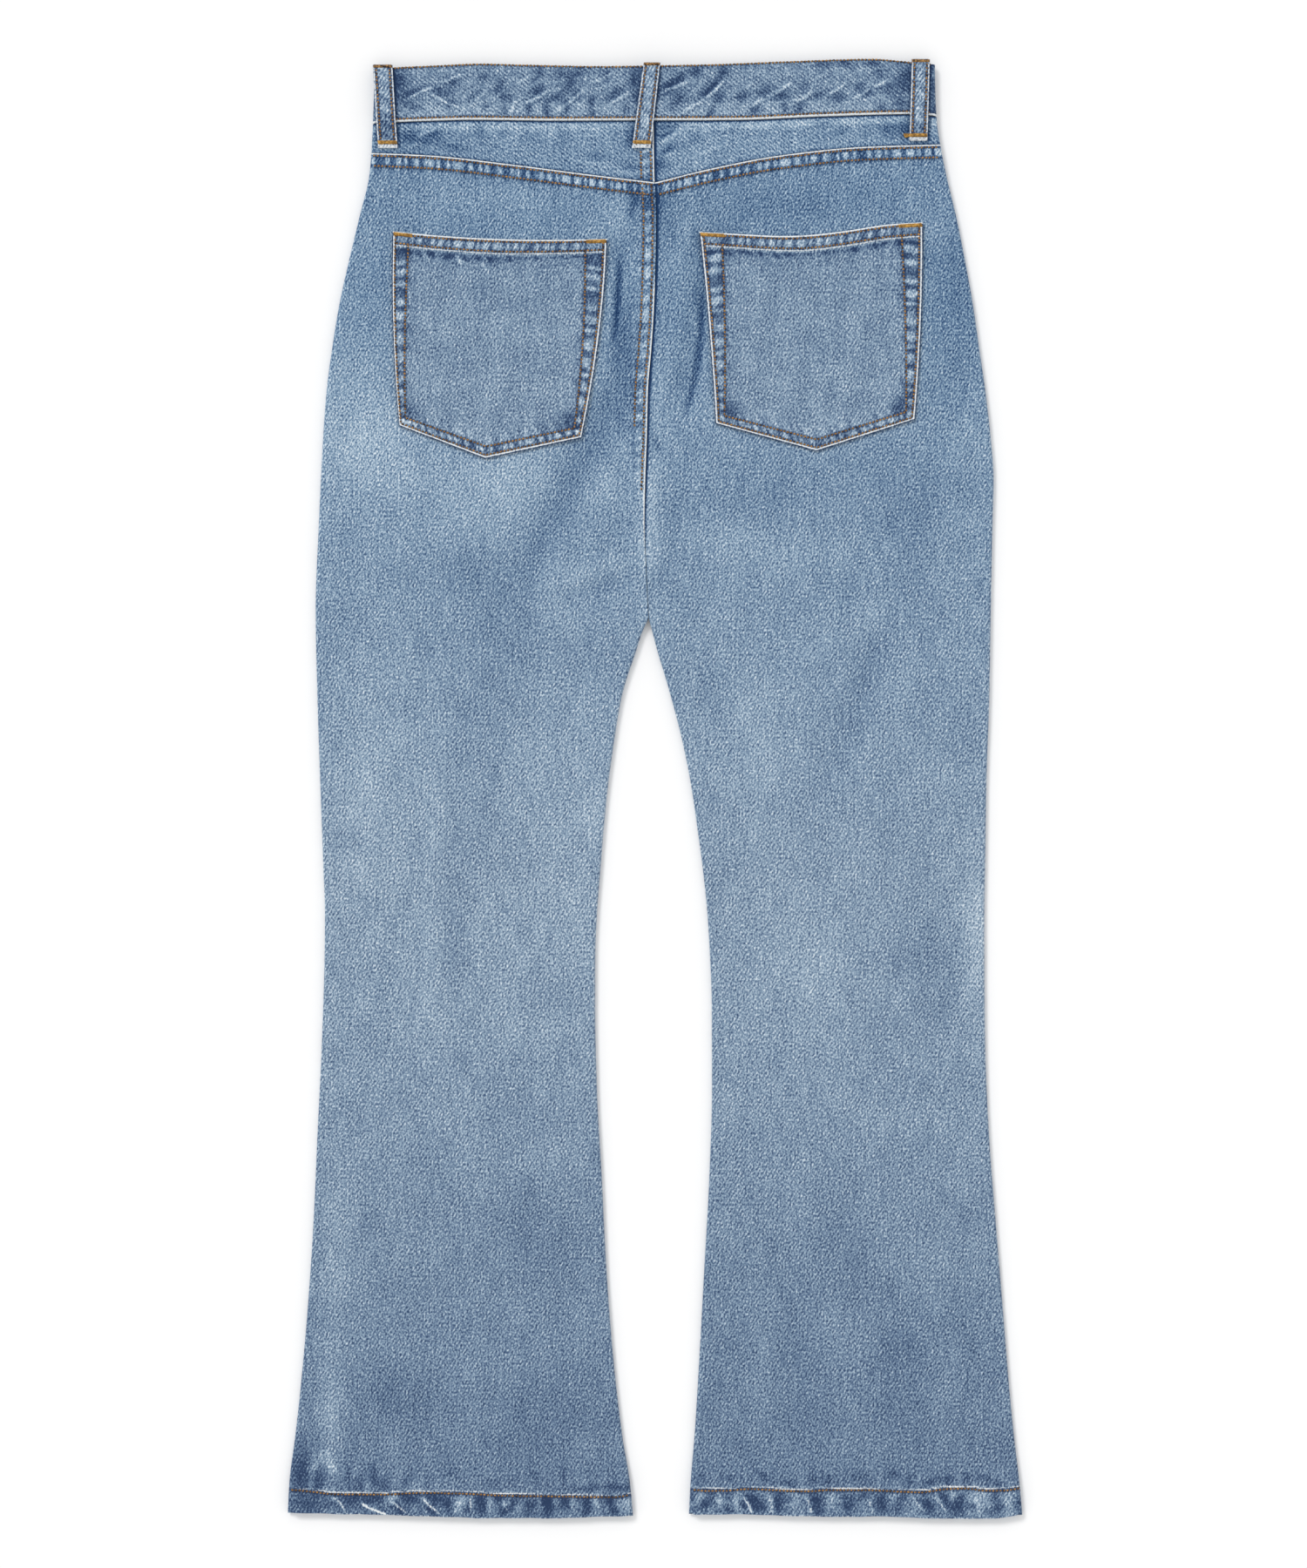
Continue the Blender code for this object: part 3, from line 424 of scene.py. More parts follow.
def makeDenim(name, slant, twillAmount, shift=0.0, blue=0.0):
    # shift: how much paler the whole is; blue: how much bluer the less worn seat is
    look = denimLook
    made, tree, surface = startMaterial(name)
    place = addNode(tree, "ShaderNodeUVMap", {"uv_map": "grain"}).outputs["UV"]
    # the wear attribute also carries painted shade: in stitch grooves, seam gaps, fold troughs, beside the
    # belt loops and along pocket and loop edges
    wearAndShade = addNode(tree, "ShaderNodeAttribute", {"attribute_name": "wearAndShade"}).outputs["Fac"]
    white = addNode(tree, "ShaderNodeAttribute", {"attribute_name": "whiten"}).outputs["Fac"]

    def stretched(vector, width, length):
        return addNode(tree, "ShaderNodeMapping", {}, {
            "Vector": vector, "Scale": (1 / (width * mm), 1 / (length * mm), 1.0)}).outputs["Vector"]

    def noise(vector, detail, roughness=0.55):
        return addNode(tree, "ShaderNodeTexNoise", {"noise_dimensions": "2D"}, {
            "Vector": vector, "Scale": 1.0, "Detail": detail, "Roughness": roughness}).outputs["Fac"]

    turned = addNode(tree, "ShaderNodeVectorRotate", {"rotation_type": "Z_AXIS"}, {
        "Vector": place, "Angle": math.radians(90 - slant)}).outputs["Vector"]
    twill = addNode(tree, "ShaderNodeTexWave", {"wave_type": "BANDS", "bands_direction": "X"}, {
        "Vector": turned, "Scale": waveUnit / (look["twillPitch"] * mm), "Distortion": 2.2, "Detail": 2.0,
        "Detail Scale": 1.4, "Detail Roughness": 0.6}).outputs["Fac"]
    grain = noise(stretched(place, look["grainSize"], look["grainSize"] * 1.4), 1.0)
    fleck = noise(stretched(turned, look["fleckWidth"], look["fleckLength"]), 1.0)
    slub = noise(stretched(place, look["slubWidth"], look["slubLength"]), 3.0)
    cloud = noise(stretched(place, look["cloudSize"], look["cloudSize"] * 1.8), 3.0, 0.6)

    def addTimes(value, amount, total):
        return addNode(tree, "ShaderNodeMath", {"operation": "MULTIPLY_ADD"}, {
            0: value, 1: amount, 2: total}).outputs[0]

    total = addTimes(wearAndShade, look["wearAndShadeAmount"], look["base"] + shift)
    for value, amount in ((twill, twillAmount), (grain, look["grainAmount"]), (fleck, look["fleckAmount"]),
                          (slub, look["slubAmount"]), (cloud, look["cloudAmount"])):
        centred = addNode(tree, "ShaderNodeMath", {"operation": "SUBTRACT"}, {0: value, 1: 0.5}).outputs[0]
        total = addTimes(centred, amount, total)
    ramp = addNode(tree, "ShaderNodeValToRGB", {}, {"Fac": total})
    stops = ramp.color_ramp.elements
    while len(stops) < len(look["ramp"]):
        stops.new(0.5)
    for stop, (position, colour) in zip(stops, look["ramp"]):
        stop.position = position
        stop.color = linear(colour)
    frayed = addNode(tree, "ShaderNodeMapRange", {}, {      # fold edges worn down to the white weft
        "Value": addTimes(grain, 1.2, white), "From Min": look["weftFrom"],
        "From Max": look["weftFull"]}).outputs["Result"]
    colour = mixColours(tree, frayed, ramp.outputs["Color"], linear(look["weft"]))
    height = addNode(tree, "ShaderNodeSeparateXYZ", {}, {"Vector": place}).outputs["Y"]
    strength = addNode(tree, "ShaderNodeMapRange", {}, {
        "Value": height, "From Min": -60 * mm, "From Max": 330 * mm,        # from the thighs to the seat
        "To Min": 0.95, "To Max": 1.0 + blue})
    colour = addNode(tree, "ShaderNodeHueSaturation", {}, {
        "Color": colour, "Saturation": strength.outputs["Result"]}).outputs["Color"]
    tree.links.new(colour, surface.inputs["Base Color"])
    addBump(tree, surface, addTimes(grain, 0.8, twill), 0.25)
    surface.inputs["Roughness"].default_value = 0.88        # dry cotton, no gloss
    surface.inputs["Specular IOR Level"].default_value = 0.2
    surface.inputs["Sheen Weight"].default_value = 0.12     # the fine nap of washed cotton
    surface.inputs["Sheen Roughness"].default_value = 0.5
    return made


# Core-spun polyester topstitching thread, twisted: brown gold, and a brighter orange in the bar tacks
def makeThread(name, dark, light):
    made, tree, surface = startMaterial(name)
    place = addNode(tree, "ShaderNodeTexCoord").outputs["Object"]
    faded = addNode(tree, "ShaderNodeTexNoise", {}, {       # from stitch to stitch
        "Vector": place, "Scale": 1 / (1.6 * mm), "Detail": 1.0}).outputs["Fac"]
    faded = addNode(tree, "ShaderNodeMapRange", {}, {
        "Value": faded, "From Min": 0.36, "From Max": 0.66}).outputs["Result"]
    tree.links.new(mixColours(tree, faded, linear(dark), linear(light)), surface.inputs["Base Color"])
    twist = addNode(tree, "ShaderNodeTexWave", {"bands_direction": "DIAGONAL"}, {
        "Vector": place, "Scale": waveUnit / (0.5 * mm)}).outputs["Fac"]      # plies about 0.5 mm apart
    addBump(tree, surface, twist, 0.12)
    surface.inputs["Roughness"].default_value = 0.6
    surface.inputs["Specular IOR Level"].default_value = 0.35
    return made


# Cast zinc with an old brass plating, tumbled dull, with fine scuffs
def makeButtonMetal():
    made, tree, surface = startMaterial("agedBrassPlating")
    place = addNode(tree, "ShaderNodeTexCoord").outputs["Object"]
    scuffs = addNode(tree, "ShaderNodeTexNoise", {}, {
        "Vector": place, "Scale": 1 / (1.2 * mm), "Detail": 4.0}).outputs["Fac"]
    colour = mixColours(tree, scuffs, linear("#8a7148"), linear("#c2a878"))
    tree.links.new(colour, surface.inputs["Base Color"])
    gloss = addNode(tree, "ShaderNodeMapRange", {}, {
        "Value": scuffs, "To Min": 0.28, "To Max": 0.5}).outputs["Result"]
    tree.links.new(gloss, surface.inputs["Roughness"])
    surface.inputs["Metallic"].default_value = 1.0
    return made


legDenim = makeDenim("washedDenimTwill", denimLook["legSlant"], twillAmount=0.17, blue=0.11)
yokeDenim = makeDenim("washedDenimYoke", denimLook["crossSlant"], twillAmount=0.19, blue=0.09)
bandDenim = makeDenim("washedDenimBand", denimLook["crossSlant"], twillAmount=0.20)
pocketDenim = makeDenim("washedDenimPocket", denimLook["legSlant"], twillAmount=0.17)
loopDenim = makeDenim("washedDenimLoop", denimLook["legSlant"], twillAmount=0.30)
insideDenim = makeDenim("denimInside", denimLook["legSlant"], twillAmount=0.14, shift=0.22)     # the weft side
goldThread = makeThread("topstitchThread", "#2c2019", "#b48850")
orangeThread = makeThread("barTackThread", "#84602a", "#cc9c4a")
buttonMetal = makeButtonMetal()
print("Materials made")


# Cloth pieces
def toRow(x, y, z):
    return (np.asarray(x) - middle[0]) * mm, (np.asarray(y) - middle[1]) * mm, np.asarray(z) * mm


def onlySelect(piece):
    bpy.ops.object.select_all(action="DESELECT")
    piece.select_set(True)
    bpy.context.view_layer.objects.active = piece


def intoScene(name, data):
    made = bpy.data.objects.new(name, data)
    bpy.context.scene.collection.objects.link(made)
    return made


def clothPiece(name, node, grids, material, facesDown=False, rounding=0.3):
    # each grid is x, y, z, wear with painted shade, whitening and thickness, by rows, and joins the next one
    grids = [[np.broadcast_to(part, grid[0].shape) for part in grid] for grid in grids]
    faces = []
    flats = []
    first = 0
    for grid, following in zip(grids, grids[1:] + [None]):
        x, y, z = grid[:3]
        count, width = x.shape
        a = (first + np.arange(count - 1)[:, None] * width + np.arange(width - 1)).ravel()
        faces += np.stack((a, a + width, a + width + 1, a + 1), axis=1).tolist()
        if following:
            faces += joinRows(first + (count - 1) * width, width, following[0].shape[1])
        first += count * width
        steps = np.maximum(np.abs(np.diff(x, axis=1)), np.abs(np.diff(z, axis=1)))
        run = np.hstack((np.zeros((count, 1)), np.cumsum(steps, axis=1)))
        half = width // 2
        flat = run - run[:, half:half + 1] + x[:, half:half + 1]        # across, with the cloth laid out
        flats.append(np.stack((flat, y), axis=2).reshape(-1, 2))
    x, y, z, wearAndShade, whiten, cloth = (np.concatenate([grid[k].ravel() for grid in grids]) for k in range(6))
    if facesDown:
        faces = [face[::-1] for face in faces]
    mesh = bpy.data.meshes.new(name)
    mesh.from_pydata(np.stack(toRow(x, y, z), axis=1).tolist(), [], faces)
    grain = mesh.uv_layers.new(name="grain")
    corners = np.empty(len(mesh.loops), dtype=int)
    mesh.loops.foreach_get("vertex_index", corners)
    grain.data.foreach_set("uv", (np.vstack(flats)[corners] * mm).ravel())
    for label, values in (("wearAndShade", wearAndShade), ("whiten", whiten)):
        layer = mesh.attributes.new(label, "FLOAT", "POINT")
        layer.data.foreach_set("value", values.astype(np.float32))
    piece = intoScene(name, mesh)
    mesh.materials.append(material)
    mesh.materials.append(insideDenim)
    mesh.shade_smooth()
    layers = piece.vertex_groups.new(name="layers")
    rounded = cloth.round(2)
    for value in np.unique(rounded):
        layers.add(np.nonzero(rounded == value)[0].tolist(), float(value / cloth.max()), "REPLACE")
    onlySelect(piece)
    wall = piece.modifiers.new("Wall", "SOLIDIFY")
    wall.thickness = float(cloth.max()) * mm
    wall.offset = -1.0
    wall.vertex_group = "layers"
    wall.material_offset = 1
    bpy.ops.object.modifier_apply(modifier="Wall")
    edges = piece.modifiers.new("Edges", "BEVEL")
    edges.width = rounding * mm
    edges.segments = 2
    edges.limit_method = "ANGLE"
    edges.angle_limit = math.radians(60)
    bpy.ops.object.modifier_apply(modifier="Edges")
    piece.vertex_groups.clear()
    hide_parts(node)
    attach(piece, "root")
    return piece


broadWash = dict(cloud=60, cloudAmount=0.04, streak=18, streakAmount=0.04)


def washAt(x, y):                   # the broad wash of the whole garment
    total = smooth(washLevels, y) + broadWash["cloudAmount"] * mottle(x, y, broadWash["cloud"], 3)
    total = total + broadWash["streakAmount"] * mottle(x, y * 0.4, broadWash["streak"], 5)
    for cx, cy, reachX, reachY, amount in washClouds:
        total = total + amount * np.exp(-((x - cx) / reachX) ** 2 - ((y - cy) / reachY) ** 2)
    return total


# How strongly the wash marks the seams, with painted shade along their stitching
seamLook = dict(
    grooveShade=0.62, grooveShadeReach=1.15,              # painted shade along each row of stitching
    bars=0.60,                                  # pale and dark between two rows
    paleTails=0.22, darkTails=0.30, tailReach=9,        # the bars run on into the panel
    whiteEdge=1.15,                             # the worn folded edge
)
everywhere = (-9, 99)               # for bars that aren't held between two rows


def marble(along, across, pitch, low, high, seed, lean=0.35):
    # pale bars and dark gaps that the wash leaves between two rows of stitching
    phase = (along + lean * across) / pitch
    phase = phase + 0.22 * np.sin(1.7 * phase + seed) + 0.14 * np.sin(4.1 * phase + 2 * seed)
    bars = np.tanh(1.6 * np.sin(2 * math.pi * phase))
    return between(low, high, across) * bars


def stitchGrooveShade(distance):                 # painted shade in the groove that a row of stitches presses into the cloth
    return -seamLook["grooveShade"] * bell(distance, seamLook["grooveShadeReach"])


def seamWashAndShade(along, across, rows, pitch, seed, lean):      # paleness and whitening beside a felled seam, with painted shade in the grooves of its stitching
    low, high = rows[0] + 0.5, rows[1] - 0.5
    reach = seamLook["tailReach"]
    bars = marble(along, across, pitch, low, high, seed, lean)
    tails = marble(along, across, pitch, high + 1, high + reach, seed, lean=0.1)
    fade = 1 - rise(high, high + reach, across)
    pale = (seamLook["bars"] * bars + 0.02) * between(low, high, across)
    tails = seamLook["paleTails"] * np.maximum(tails, 0) - seamLook["darkTails"] * np.maximum(-tails, 0)
    pale = pale + tails * fade * rise(high, high + 1.5, across)
    white = seamLook["whiteEdge"] * (1 - rise(0.7, 1.4, across))
    return pale + stitchGrooveShade(across - rows[0]) + stitchGrooveShade(across - rows[1]), white


# The two back leg panels
backPanels = dict(
    columns=84, pucker=0.28, yokePitch=7.2, seatPitch=10.2,
    crowded=22, crowdedReach=60,                    # the yoke's puckers lie closer near the seat seam
    yokeRows=(1.9, 8.9), seatRows=(2.3, 8.6),       # stitching, in from the seams
    hemWave=0.5, corner=2.4, cornerReach=2.6,       # how the hem waves and its corners are rounded off
    corners=(-253.4, -15.0, 23.0, 253.2),
    hemCrease=0.7, hemMottle=0.12, rightHem=0.14,   # the wash on the hem; the right one is paler
    aboveMottle=0.10,
    gleam=1.25,                                     # the pale line over the hem's stitching
)

# Sharp creases, pressed in by the stitching and paled by the wash: two ends, with a middle point where
# they bend, then half width, height and paleness
hemCreases = (
    (-224, -486, -216, -492, -213, -500, 1.02, 0.45, 1.4),
    (-204, -490, -195, -495, -181, -500, 1.27, 0.5, 1.82),
    (-183, -489, -176, -494, -168, -500, 1.02, 0.4, 1.26),
    (-161, -486, -156, -492, -146, -500, 1.1, 0.45, 1.54),
    (-127, -486, -127, -492, -125, -500, 1.02, 0.35, 1.26),
    (-80, -487, -79, -492, -78, -500, 1.02, 0.35, 1.12),
    (-104, -488, -103, -493, -101, -499, 1.02, 0.3, 0.84),
    (-57, -487, -57, -493, -55, -499, 0.94, 0.25, 0.7), (60, -486, 64, -492, 67, -500, 1.02, 0.45, 1.4),
    (79, -485, 80, -492, 80, -499, 1.53, 0.35, 1.12), (103, -485, 106, -492, 108, -500, 1.02, 0.4, 1.4),
    (126, -486, 128, -492, 129, -499, 1.19, 0.3, 0.7),
    (146, -486, 148, -492, 150, -499, 1.02, 0.4, 1.26),
    (176, -486, 181, -492, 187, -499, 1.02, 0.35, 1.12),
    (192, -485, 196, -491, 202, -498, 1.02, 0.35, 1.12),
    (220, -486, 222, -492, 224, -499, 1.36, 0.25, 0.7),
)
# Spots that the wash left dark (-) or pale (+) in the puckers: place, half length, half width, lean in
# degrees, amount
hemPatches = (
    (-236, -492, 12, 8, 0, -0.4), (-209, -489, 6, 4, 0, -0.69), (-195, -488, 7, 3, 0, -0.8),
    (-175, -496, 6, 3, -30, -0.69), (-169, -488, 6, 3.4, 0, -0.92), (-152, -488, 5, 3, -20, -0.8),
    (-154, -496, 5, 2.5, -30, -0.69), (-143, -491, 6, 4, -60, -0.69), (-129, -495, 5, 3, 90, -0.57),
    (-120, -491, 7, 4, 90, -1.03), (-107, -488, 4, 3, 0, -0.8), (-104, -496, 4, 3, 60, -0.92),
    (-97, -490, 5, 3, 60, -0.8), (-87, -491, 4, 3, 0, -0.69), (-87, -497, 3, 3, 0, -0.57),
    (-74, -491, 8, 4.4, 90, -1.15), (-62, -491, 4, 4, 0, -0.8), (-47, -492, 7, 3, 90, -0.92),
    (-31, -490, 4, 4, 0, -0.8), (-28, -496, 4, 3, 0, -0.69), (-181, -487, 5, 3, 60, 0.69),
    (-135, -492, 6, 4, 60, 0.69), (-114, -492, 6, 2.4, 100, 0.46), (-103, -491, 4, 3, 60, 0.57),
    (-93, -492, 5, 2.2, 90, 0.46), (-69, -489, 4, 2, 90, 0.46), (-57, -489, 4, 2, 90, 0.46),
    (-41, -490, 5, 2, 110, 0.46), (-21, -492, 6, 5, 0, 0.46), (26, -486, 3, 3, 0, -0.42),
    (35, -492, 6, 3.4, 20, -0.77), (38, -486, 4, 3, 0, -0.51), (50, -486, 4, 3, 0, -0.51),
    (50, -495, 5, 3, 0, -0.51), (60, -492, 5, 2.4, -60, -0.59), (66, -488, 5, 3, -40, -0.59),
    (71, -492, 7, 4, -60, -0.85), (85, -490, 8, 4, 90, -0.77), (92, -488, 3, 2.4, 0, -0.42),
    (111, -488, 5, 4, -30, -0.77), (112, -495, 6, 4, -60, -0.68), (133, -491, 7, 5, 90, -0.68),
    (144, -486, 4, 3, 0, -0.51), (156, -491, 8, 5, 90, -0.85), (170, -487, 4, 3, 0, -0.59),
    (167, -494, 4, 4, 0, -0.51), (187, -492, 7, 4, -60, -0.85), (199, -487, 5, 3, -60, -0.68),
    (207, -493, 7, 5, -45, -0.85), (211, -487, 4, 3.4, 90, -0.59), (217, -492, 6, 3, 0, -0.42),
    (234, -486, 4, 2.4, 90, -0.59), (235, -495, 7, 3.4, 30, -0.59), (250, -491, 6, 3, 90, -0.68),
    (30, -487, 5, 2.4, 70, 0.42), (44, -489, 5, 3.4, 60, 0.42), (56, -490, 6, 2.4, 80, 0.51),
    (95, -489, 5, 2.4, 60, 0.42), (121, -490, 6, 2.4, 80, 0.42), (164, -487, 4, 3, 60, 0.34),
    (205, -487, 4, 3, 70, 0.59), (221, -489, 8, 6, 0, 0.42), (243, -490, 6, 3, 90, 0.42),
)
aboveHemPatches = (
    (-244, -470, 13, 5, 90, -0.6), (-231, -475, 8, 4, 90, -0.5), (-205, -477, 8, 5, 90, -0.45),
    (-194, -472, 9, 4, 90, -0.45), (-188, -478, 6, 4, 90, -0.35), (-211, -471, 7, 3, 90, -0.25),
    (-235, -466, 6, 3, 65, 0.55), (-223, -466, 5, 3, -70, 0.65), (-229, -458, 6, 4, 0, 0.4),
    (-208, -472, 7, 1.8, 80, 0.4), (-198, -478, 7, 1.8, 80, 0.4), (-238, -479, 6, 1.6, 80, 0.4),
    (-228, -481, 5, 1.6, 80, 0.4), (-171, -475, 4, 3, 60, -0.3), (-142, -470, 5, 4, 60, -0.25),
    (-113, -477, 5, 3, 0, -0.35), (-97, -475, 5, 3, 60, -0.3), (-83, -474, 5, 3, 90, -0.25),
    (-63, -471, 6, 3, 90, -0.35), (-50, -481, 9, 2.2, 0, -0.4), (-27, -480, 9, 2.4, -5, -0.6),
    (29, -474, 6, 3, 0, -0.25), (51, -474, 4, 2.6, 0, -0.45), (75, -473, 5, 2.6, -40, -0.5),
    (91, -477, 5, 2, -20, -0.5), (108, -475, 4, 3, 90, -0.35), (118, -475, 4, 3, 0, -0.45),
    (141, -472, 6, 3, 0, -0.3), (164, -471, 5, 3, 0, -0.45), (176, -476, 4, 3, 90, -0.4),
    (190, -476, 5, 2.2, 25, -0.6), (201, -475, 4, 3, 0, -0.5), (215, -474, 3, 3, 0, -0.5),
    (227, -474, 4, 3, 0, -0.4), (235, -477, 3, 3, 0, -0.4),
)
# The one row of stitching over each hem: x, y
hemStitchLeft = (
    (-252, -481.6), (-235, -483.2), (-221, -484.8), (-187, -485.0), (-163, -484.0), (-133, -484.4),
    (-104, -485.8), (-69, -486.3), (-29, -486.8), (-16, -485.2),
)
hemStitchRight = (
    (23, -481.4), (35, -482.4), (47, -482.4), (65, -481.2), (81, -482.0), (102, -482.8), (121, -482.0),
    (143, -482.0), (173, -483.2), (182, -483.5), (201, -481.2), (213, -480.9), (229, -482.4),
    (241, -482.2), (252, -480.4),
)


def yokeLine(table, mean):
    def across(level, x):
        top = rise(330, 410, level) * (smooth(table, x) - mean)
        low = (1 - rise(-476, -420, level)) * (smooth(hemLine, x) - hemMean)
        ragged = backPanels["hemWave"] * mottle(x, 0 * x, 24, 8)
        for corner in backPanels["corners"]:
            ragged = ragged + backPanels["corner"] * bell(x - corner, backPanels["cornerReach"])
        return level + top + low + ragged * (1 - rise(hemMean, hemMean + 12, level))
    return across


def hemStitchY(x):
    return np.where(x < 4, smooth(hemStitchLeft, x), smooth(hemStitchRight, x))


def backSurface(table, inner, overlaps):
    def surface(x, y):
        below = smooth(table, x) - y
        seat = lap(np.abs(x - inner(y))) * (1 - legRoll(y)) if overlaps else 0.0
        above = y - smooth(hemLine, x)
        ripple = backPanels["pucker"] * (
            marble(x, below, backPanels["yokePitch"], 2.4, 8.4, 2.0)
            + 0.5 * mottle(x, y * 0.4, 16, 9) * between(1.5, 30, above, 3))
        creases = strokes(hemCreases, x, y)[0] + 0.35 * patches(hemPatches, x, y)
        return backFace(x, y) + np.maximum(seat, lap(below)) + ripple + creases
    return surface


def backLooks(x, y, table, inner, overlaps):    # wear with painted shade, whitening and thickness
    look = backPanels
    below = smooth(table, x) - y
    above = y - smooth(hemLine, x)
    overStitch = y - hemStitchY(x)
    beside = np.abs(x - inner(y))
    onSeat = rise(190, 260, y)
    along = x + look["crowded"] * np.tanh(x / look["crowdedReach"])
    # pale holds the yoke seam's wash marks with painted shade in its stitch grooves; the folds' paleness below
    # is partly painted shade and light
    pale, white = seamWashAndShade(along, below, look["yokeRows"], look["yokePitch"], 2.0, 0.0)
    wearAndShade = washAt(x, y) + strokes(folds, x, y)[1] + pale
    if overlaps:
        seatWashAndShade, seatWhite = seamWashAndShade(y, beside, look["seatRows"], look["seatPitch"], 5.0, 0.35)
        wearAndShade = wearAndShade + (0.7 * seatWashAndShade + 0.08 * between(0, 9, beside)) * onSeat * rise(9, 11, below)
        white = np.maximum(white, seatWhite * rise(126, 200, y) * (1 - 0.7 * rise(342, 356, y)))
    else:                           # this side dips under the other one: a painted shadow along the seam's gap, and a broader painted shade beside it
        wearAndShade = wearAndShade - 1.6 * (1 - rise(0.5, 1.9, beside)) * rise(140, 230, y)
        wearAndShade = wearAndShade - 0.25 * (1 - rise(1, 5, beside)) * onSeat
    inHem = 1 - rise(-0.5, 0.5, overStitch)
    creasePale = strokes(hemCreases, x, y)[1]
    hemWear = look["rightHem"] * rise(-60, 60, x) + patches(hemPatches, x, y)
    hemWear = hemWear + look["hemCrease"] * creasePale + look["hemMottle"] * mottle(x, y, 6, 23)
    fadesOut = 1 - rise(20, 40, above)
    aboveWear = look["aboveMottle"] * mottle(x, y * 0.35, 9, 21) * fadesOut
    aboveWear = patches(aboveHemPatches, x, y) + aboveWear
    wearAndShade = wearAndShade + hemWear * inHem
    wearAndShade = wearAndShade + aboveWear * (1 - inHem)
    # painted shade in the groove of the hem's stitching, and a paler line over it
    wearAndShade = wearAndShade + 1.3 * stitchGrooveShade(overStitch) + 0.30 * between(0.9, 2.4, overStitch, 0.5)
    gleam = look["gleam"] * between(0.9, 2.1, overStitch, 0.4) * (0.72 + 0.28 * mottle(x, 0 * x, 30, 25))
    white = np.maximum.reduce((white, 0.55 * (1 - rise(0.2, 0.9, above)), creasePale * inHem, gleam))
    return wearAndShade, white, np.where(above < sewn["hemDepth"] + 0.3, sewn["hemCloth"], sewn["cloth"])


def backPanel(name, node, table, left, right, overlaps):
    inner = innerLeft if overlaps else innerRight
    mean = float(np.mean([row[1] for row in table]))
    surface = backSurface(table, inner, overlaps)
    top = mean - sewn["seamGap"] / 2
    sections = (                    # levels down the leg, and how many parts each column is split into
        (spaced((top, top - 3, 0.6), (top - 3, top - 13, 1.0)), 2),
        (spaced((top - 14.4, top - 24, 1.6), (top - 24, 200, 2.3), (200, 118, 3.0), (118, -456, 5.0)), 1),
        (spaced((-458, -478, 1.8), (-478, hemMean + 1.5, 1.1), (hemMean + 1.5, hemMean, 0.5)), 2),
    )
    grids = []
    for levels, split in sections:
        share = columnShares(backPanels["columns"], split, overlaps)
        x, y, z = panelPlaces(yokeLine(table, mean), levels, left, right, share, surface, 1)
        grids.append((x, y, z, *backLooks(x, y, table, inner, overlaps)))
    return clothPiece(name, node, grids, legDenim)


backLeft = backPanel("backLegLeft", "back_left", yokeSeamLeft, outerLeftEdge, innerLeftEdge, True)
backRight = backPanel("backLegRight", "back_right", yokeSeamRight, innerRightEdge, outerRightEdge, False)
print("Back panels made")


# The two halves of the yoke
yokes = dict(
    columns=170, seatPitch=9.0, seatRows=(2.3, 9.0),
    paler=0.08, rightPaler=0.06,        # the wash on the yoke, and how much more of it on the right half
    bandShade=1.5, seamShade=0.40,      # painted shade where it dips under the waistband, and into the seam below it
    creasePale=0.8,
)
yokeCreases = (
    (-166, 449, -148, 457, 1.26, 0.3, 0.78), (-172, 443, -160, 445, 1.26, 0.2, 0.52),
    (-30, 427, -6, 423, 1.54, 0.25, 0.52), (-60, 434, -34, 430, 1.54, 0.2, 0.39),
    (3, 445, 18, 454, 1.54, 0.3, 0.91), (3, 436, 13, 439, 1.4, 0.2, 0.65),
    (28, 437, 52, 446, 1.68, 0.2, 0.39), (-22, 448, -12, 456, 1.4, 0.2, 0.39),
)
yokePatches = (
    (-169, 452, 9, 6, 90, -0.5), (-155, 449, 10, 4, 25, -0.5), (-139, 443, 10, 3, -8, -0.4),
    (-122, 453, 6, 3, 20, -0.3), (-17, 451, 7, 4, 80, -0.6), (-39, 436, 8, 3, -10, -0.3),
    (-17, 429, 8, 4, 0, -0.35), (9, 457, 9, 2.4, 0, -0.7), (6, 451, 6, 2.6, 10, -0.7),
    (9, 441, 7, 2.4, 35, -0.7), (4, 430, 6, 4, 0, -0.6), (24, 446, 9, 3, 30, -0.3),
    (161, 454, 6, 3.4, 20, -0.5), (171, 454, 7, 5, 90, -0.6), (154, 457, 5, 2.4, 0, -0.4),
    (127, 453, 5, 3, 20, -0.35), (116, 458, 9, 2.4, 5, -0.3), (186, 440, 9, 8, 0, -0.4),
)

# Belt loops: x of the middle at the top and at the lower end, y of the lower end, and the width at the top
# and at the lower end as a share of the full width
loops = dict(
    belt_loop_left=(-187.4, -184.0, 441.9, 1.0, 1.0),
    belt_loop_centre=(-2.4, -9.6, 441.7, 0.84, 0.95),
    belt_loop_right=(182.6, 181.0, 446.9, 0.92, 0.92),
)
loopHalf = 6.8                          # half the full width


def loopShadowLines(x, y):              # painted shadow: the dark line where cloth dips under the belt loops' edges, stronger on their right
    total = 0.0 * x
    for topX, lowX, lowY, topWidth, lowWidth in loops.values():
        share = (waist["top"] - y) / (waist["top"] - lowY)
        middleX = topX + share * (lowX - topX)
        half = loopHalf * (topWidth + share * (lowWidth - topWidth))
        right = 0.8 * bell(x - middleX - half - 0.5, 1.3)
        left = 0.45 * bell(x - middleX + half + 0.4, 1.2)
        total = total + (right + left) * (y > lowY)
    return total


def yokeSurface(inner, overlaps):
    def surface(x, y):
        seat = lap(np.abs(x - inner(y))) if overlaps else 0.0
        return backFace(x, y) + seat + strokes(yokeCreases, x, y)[0]
    return surface


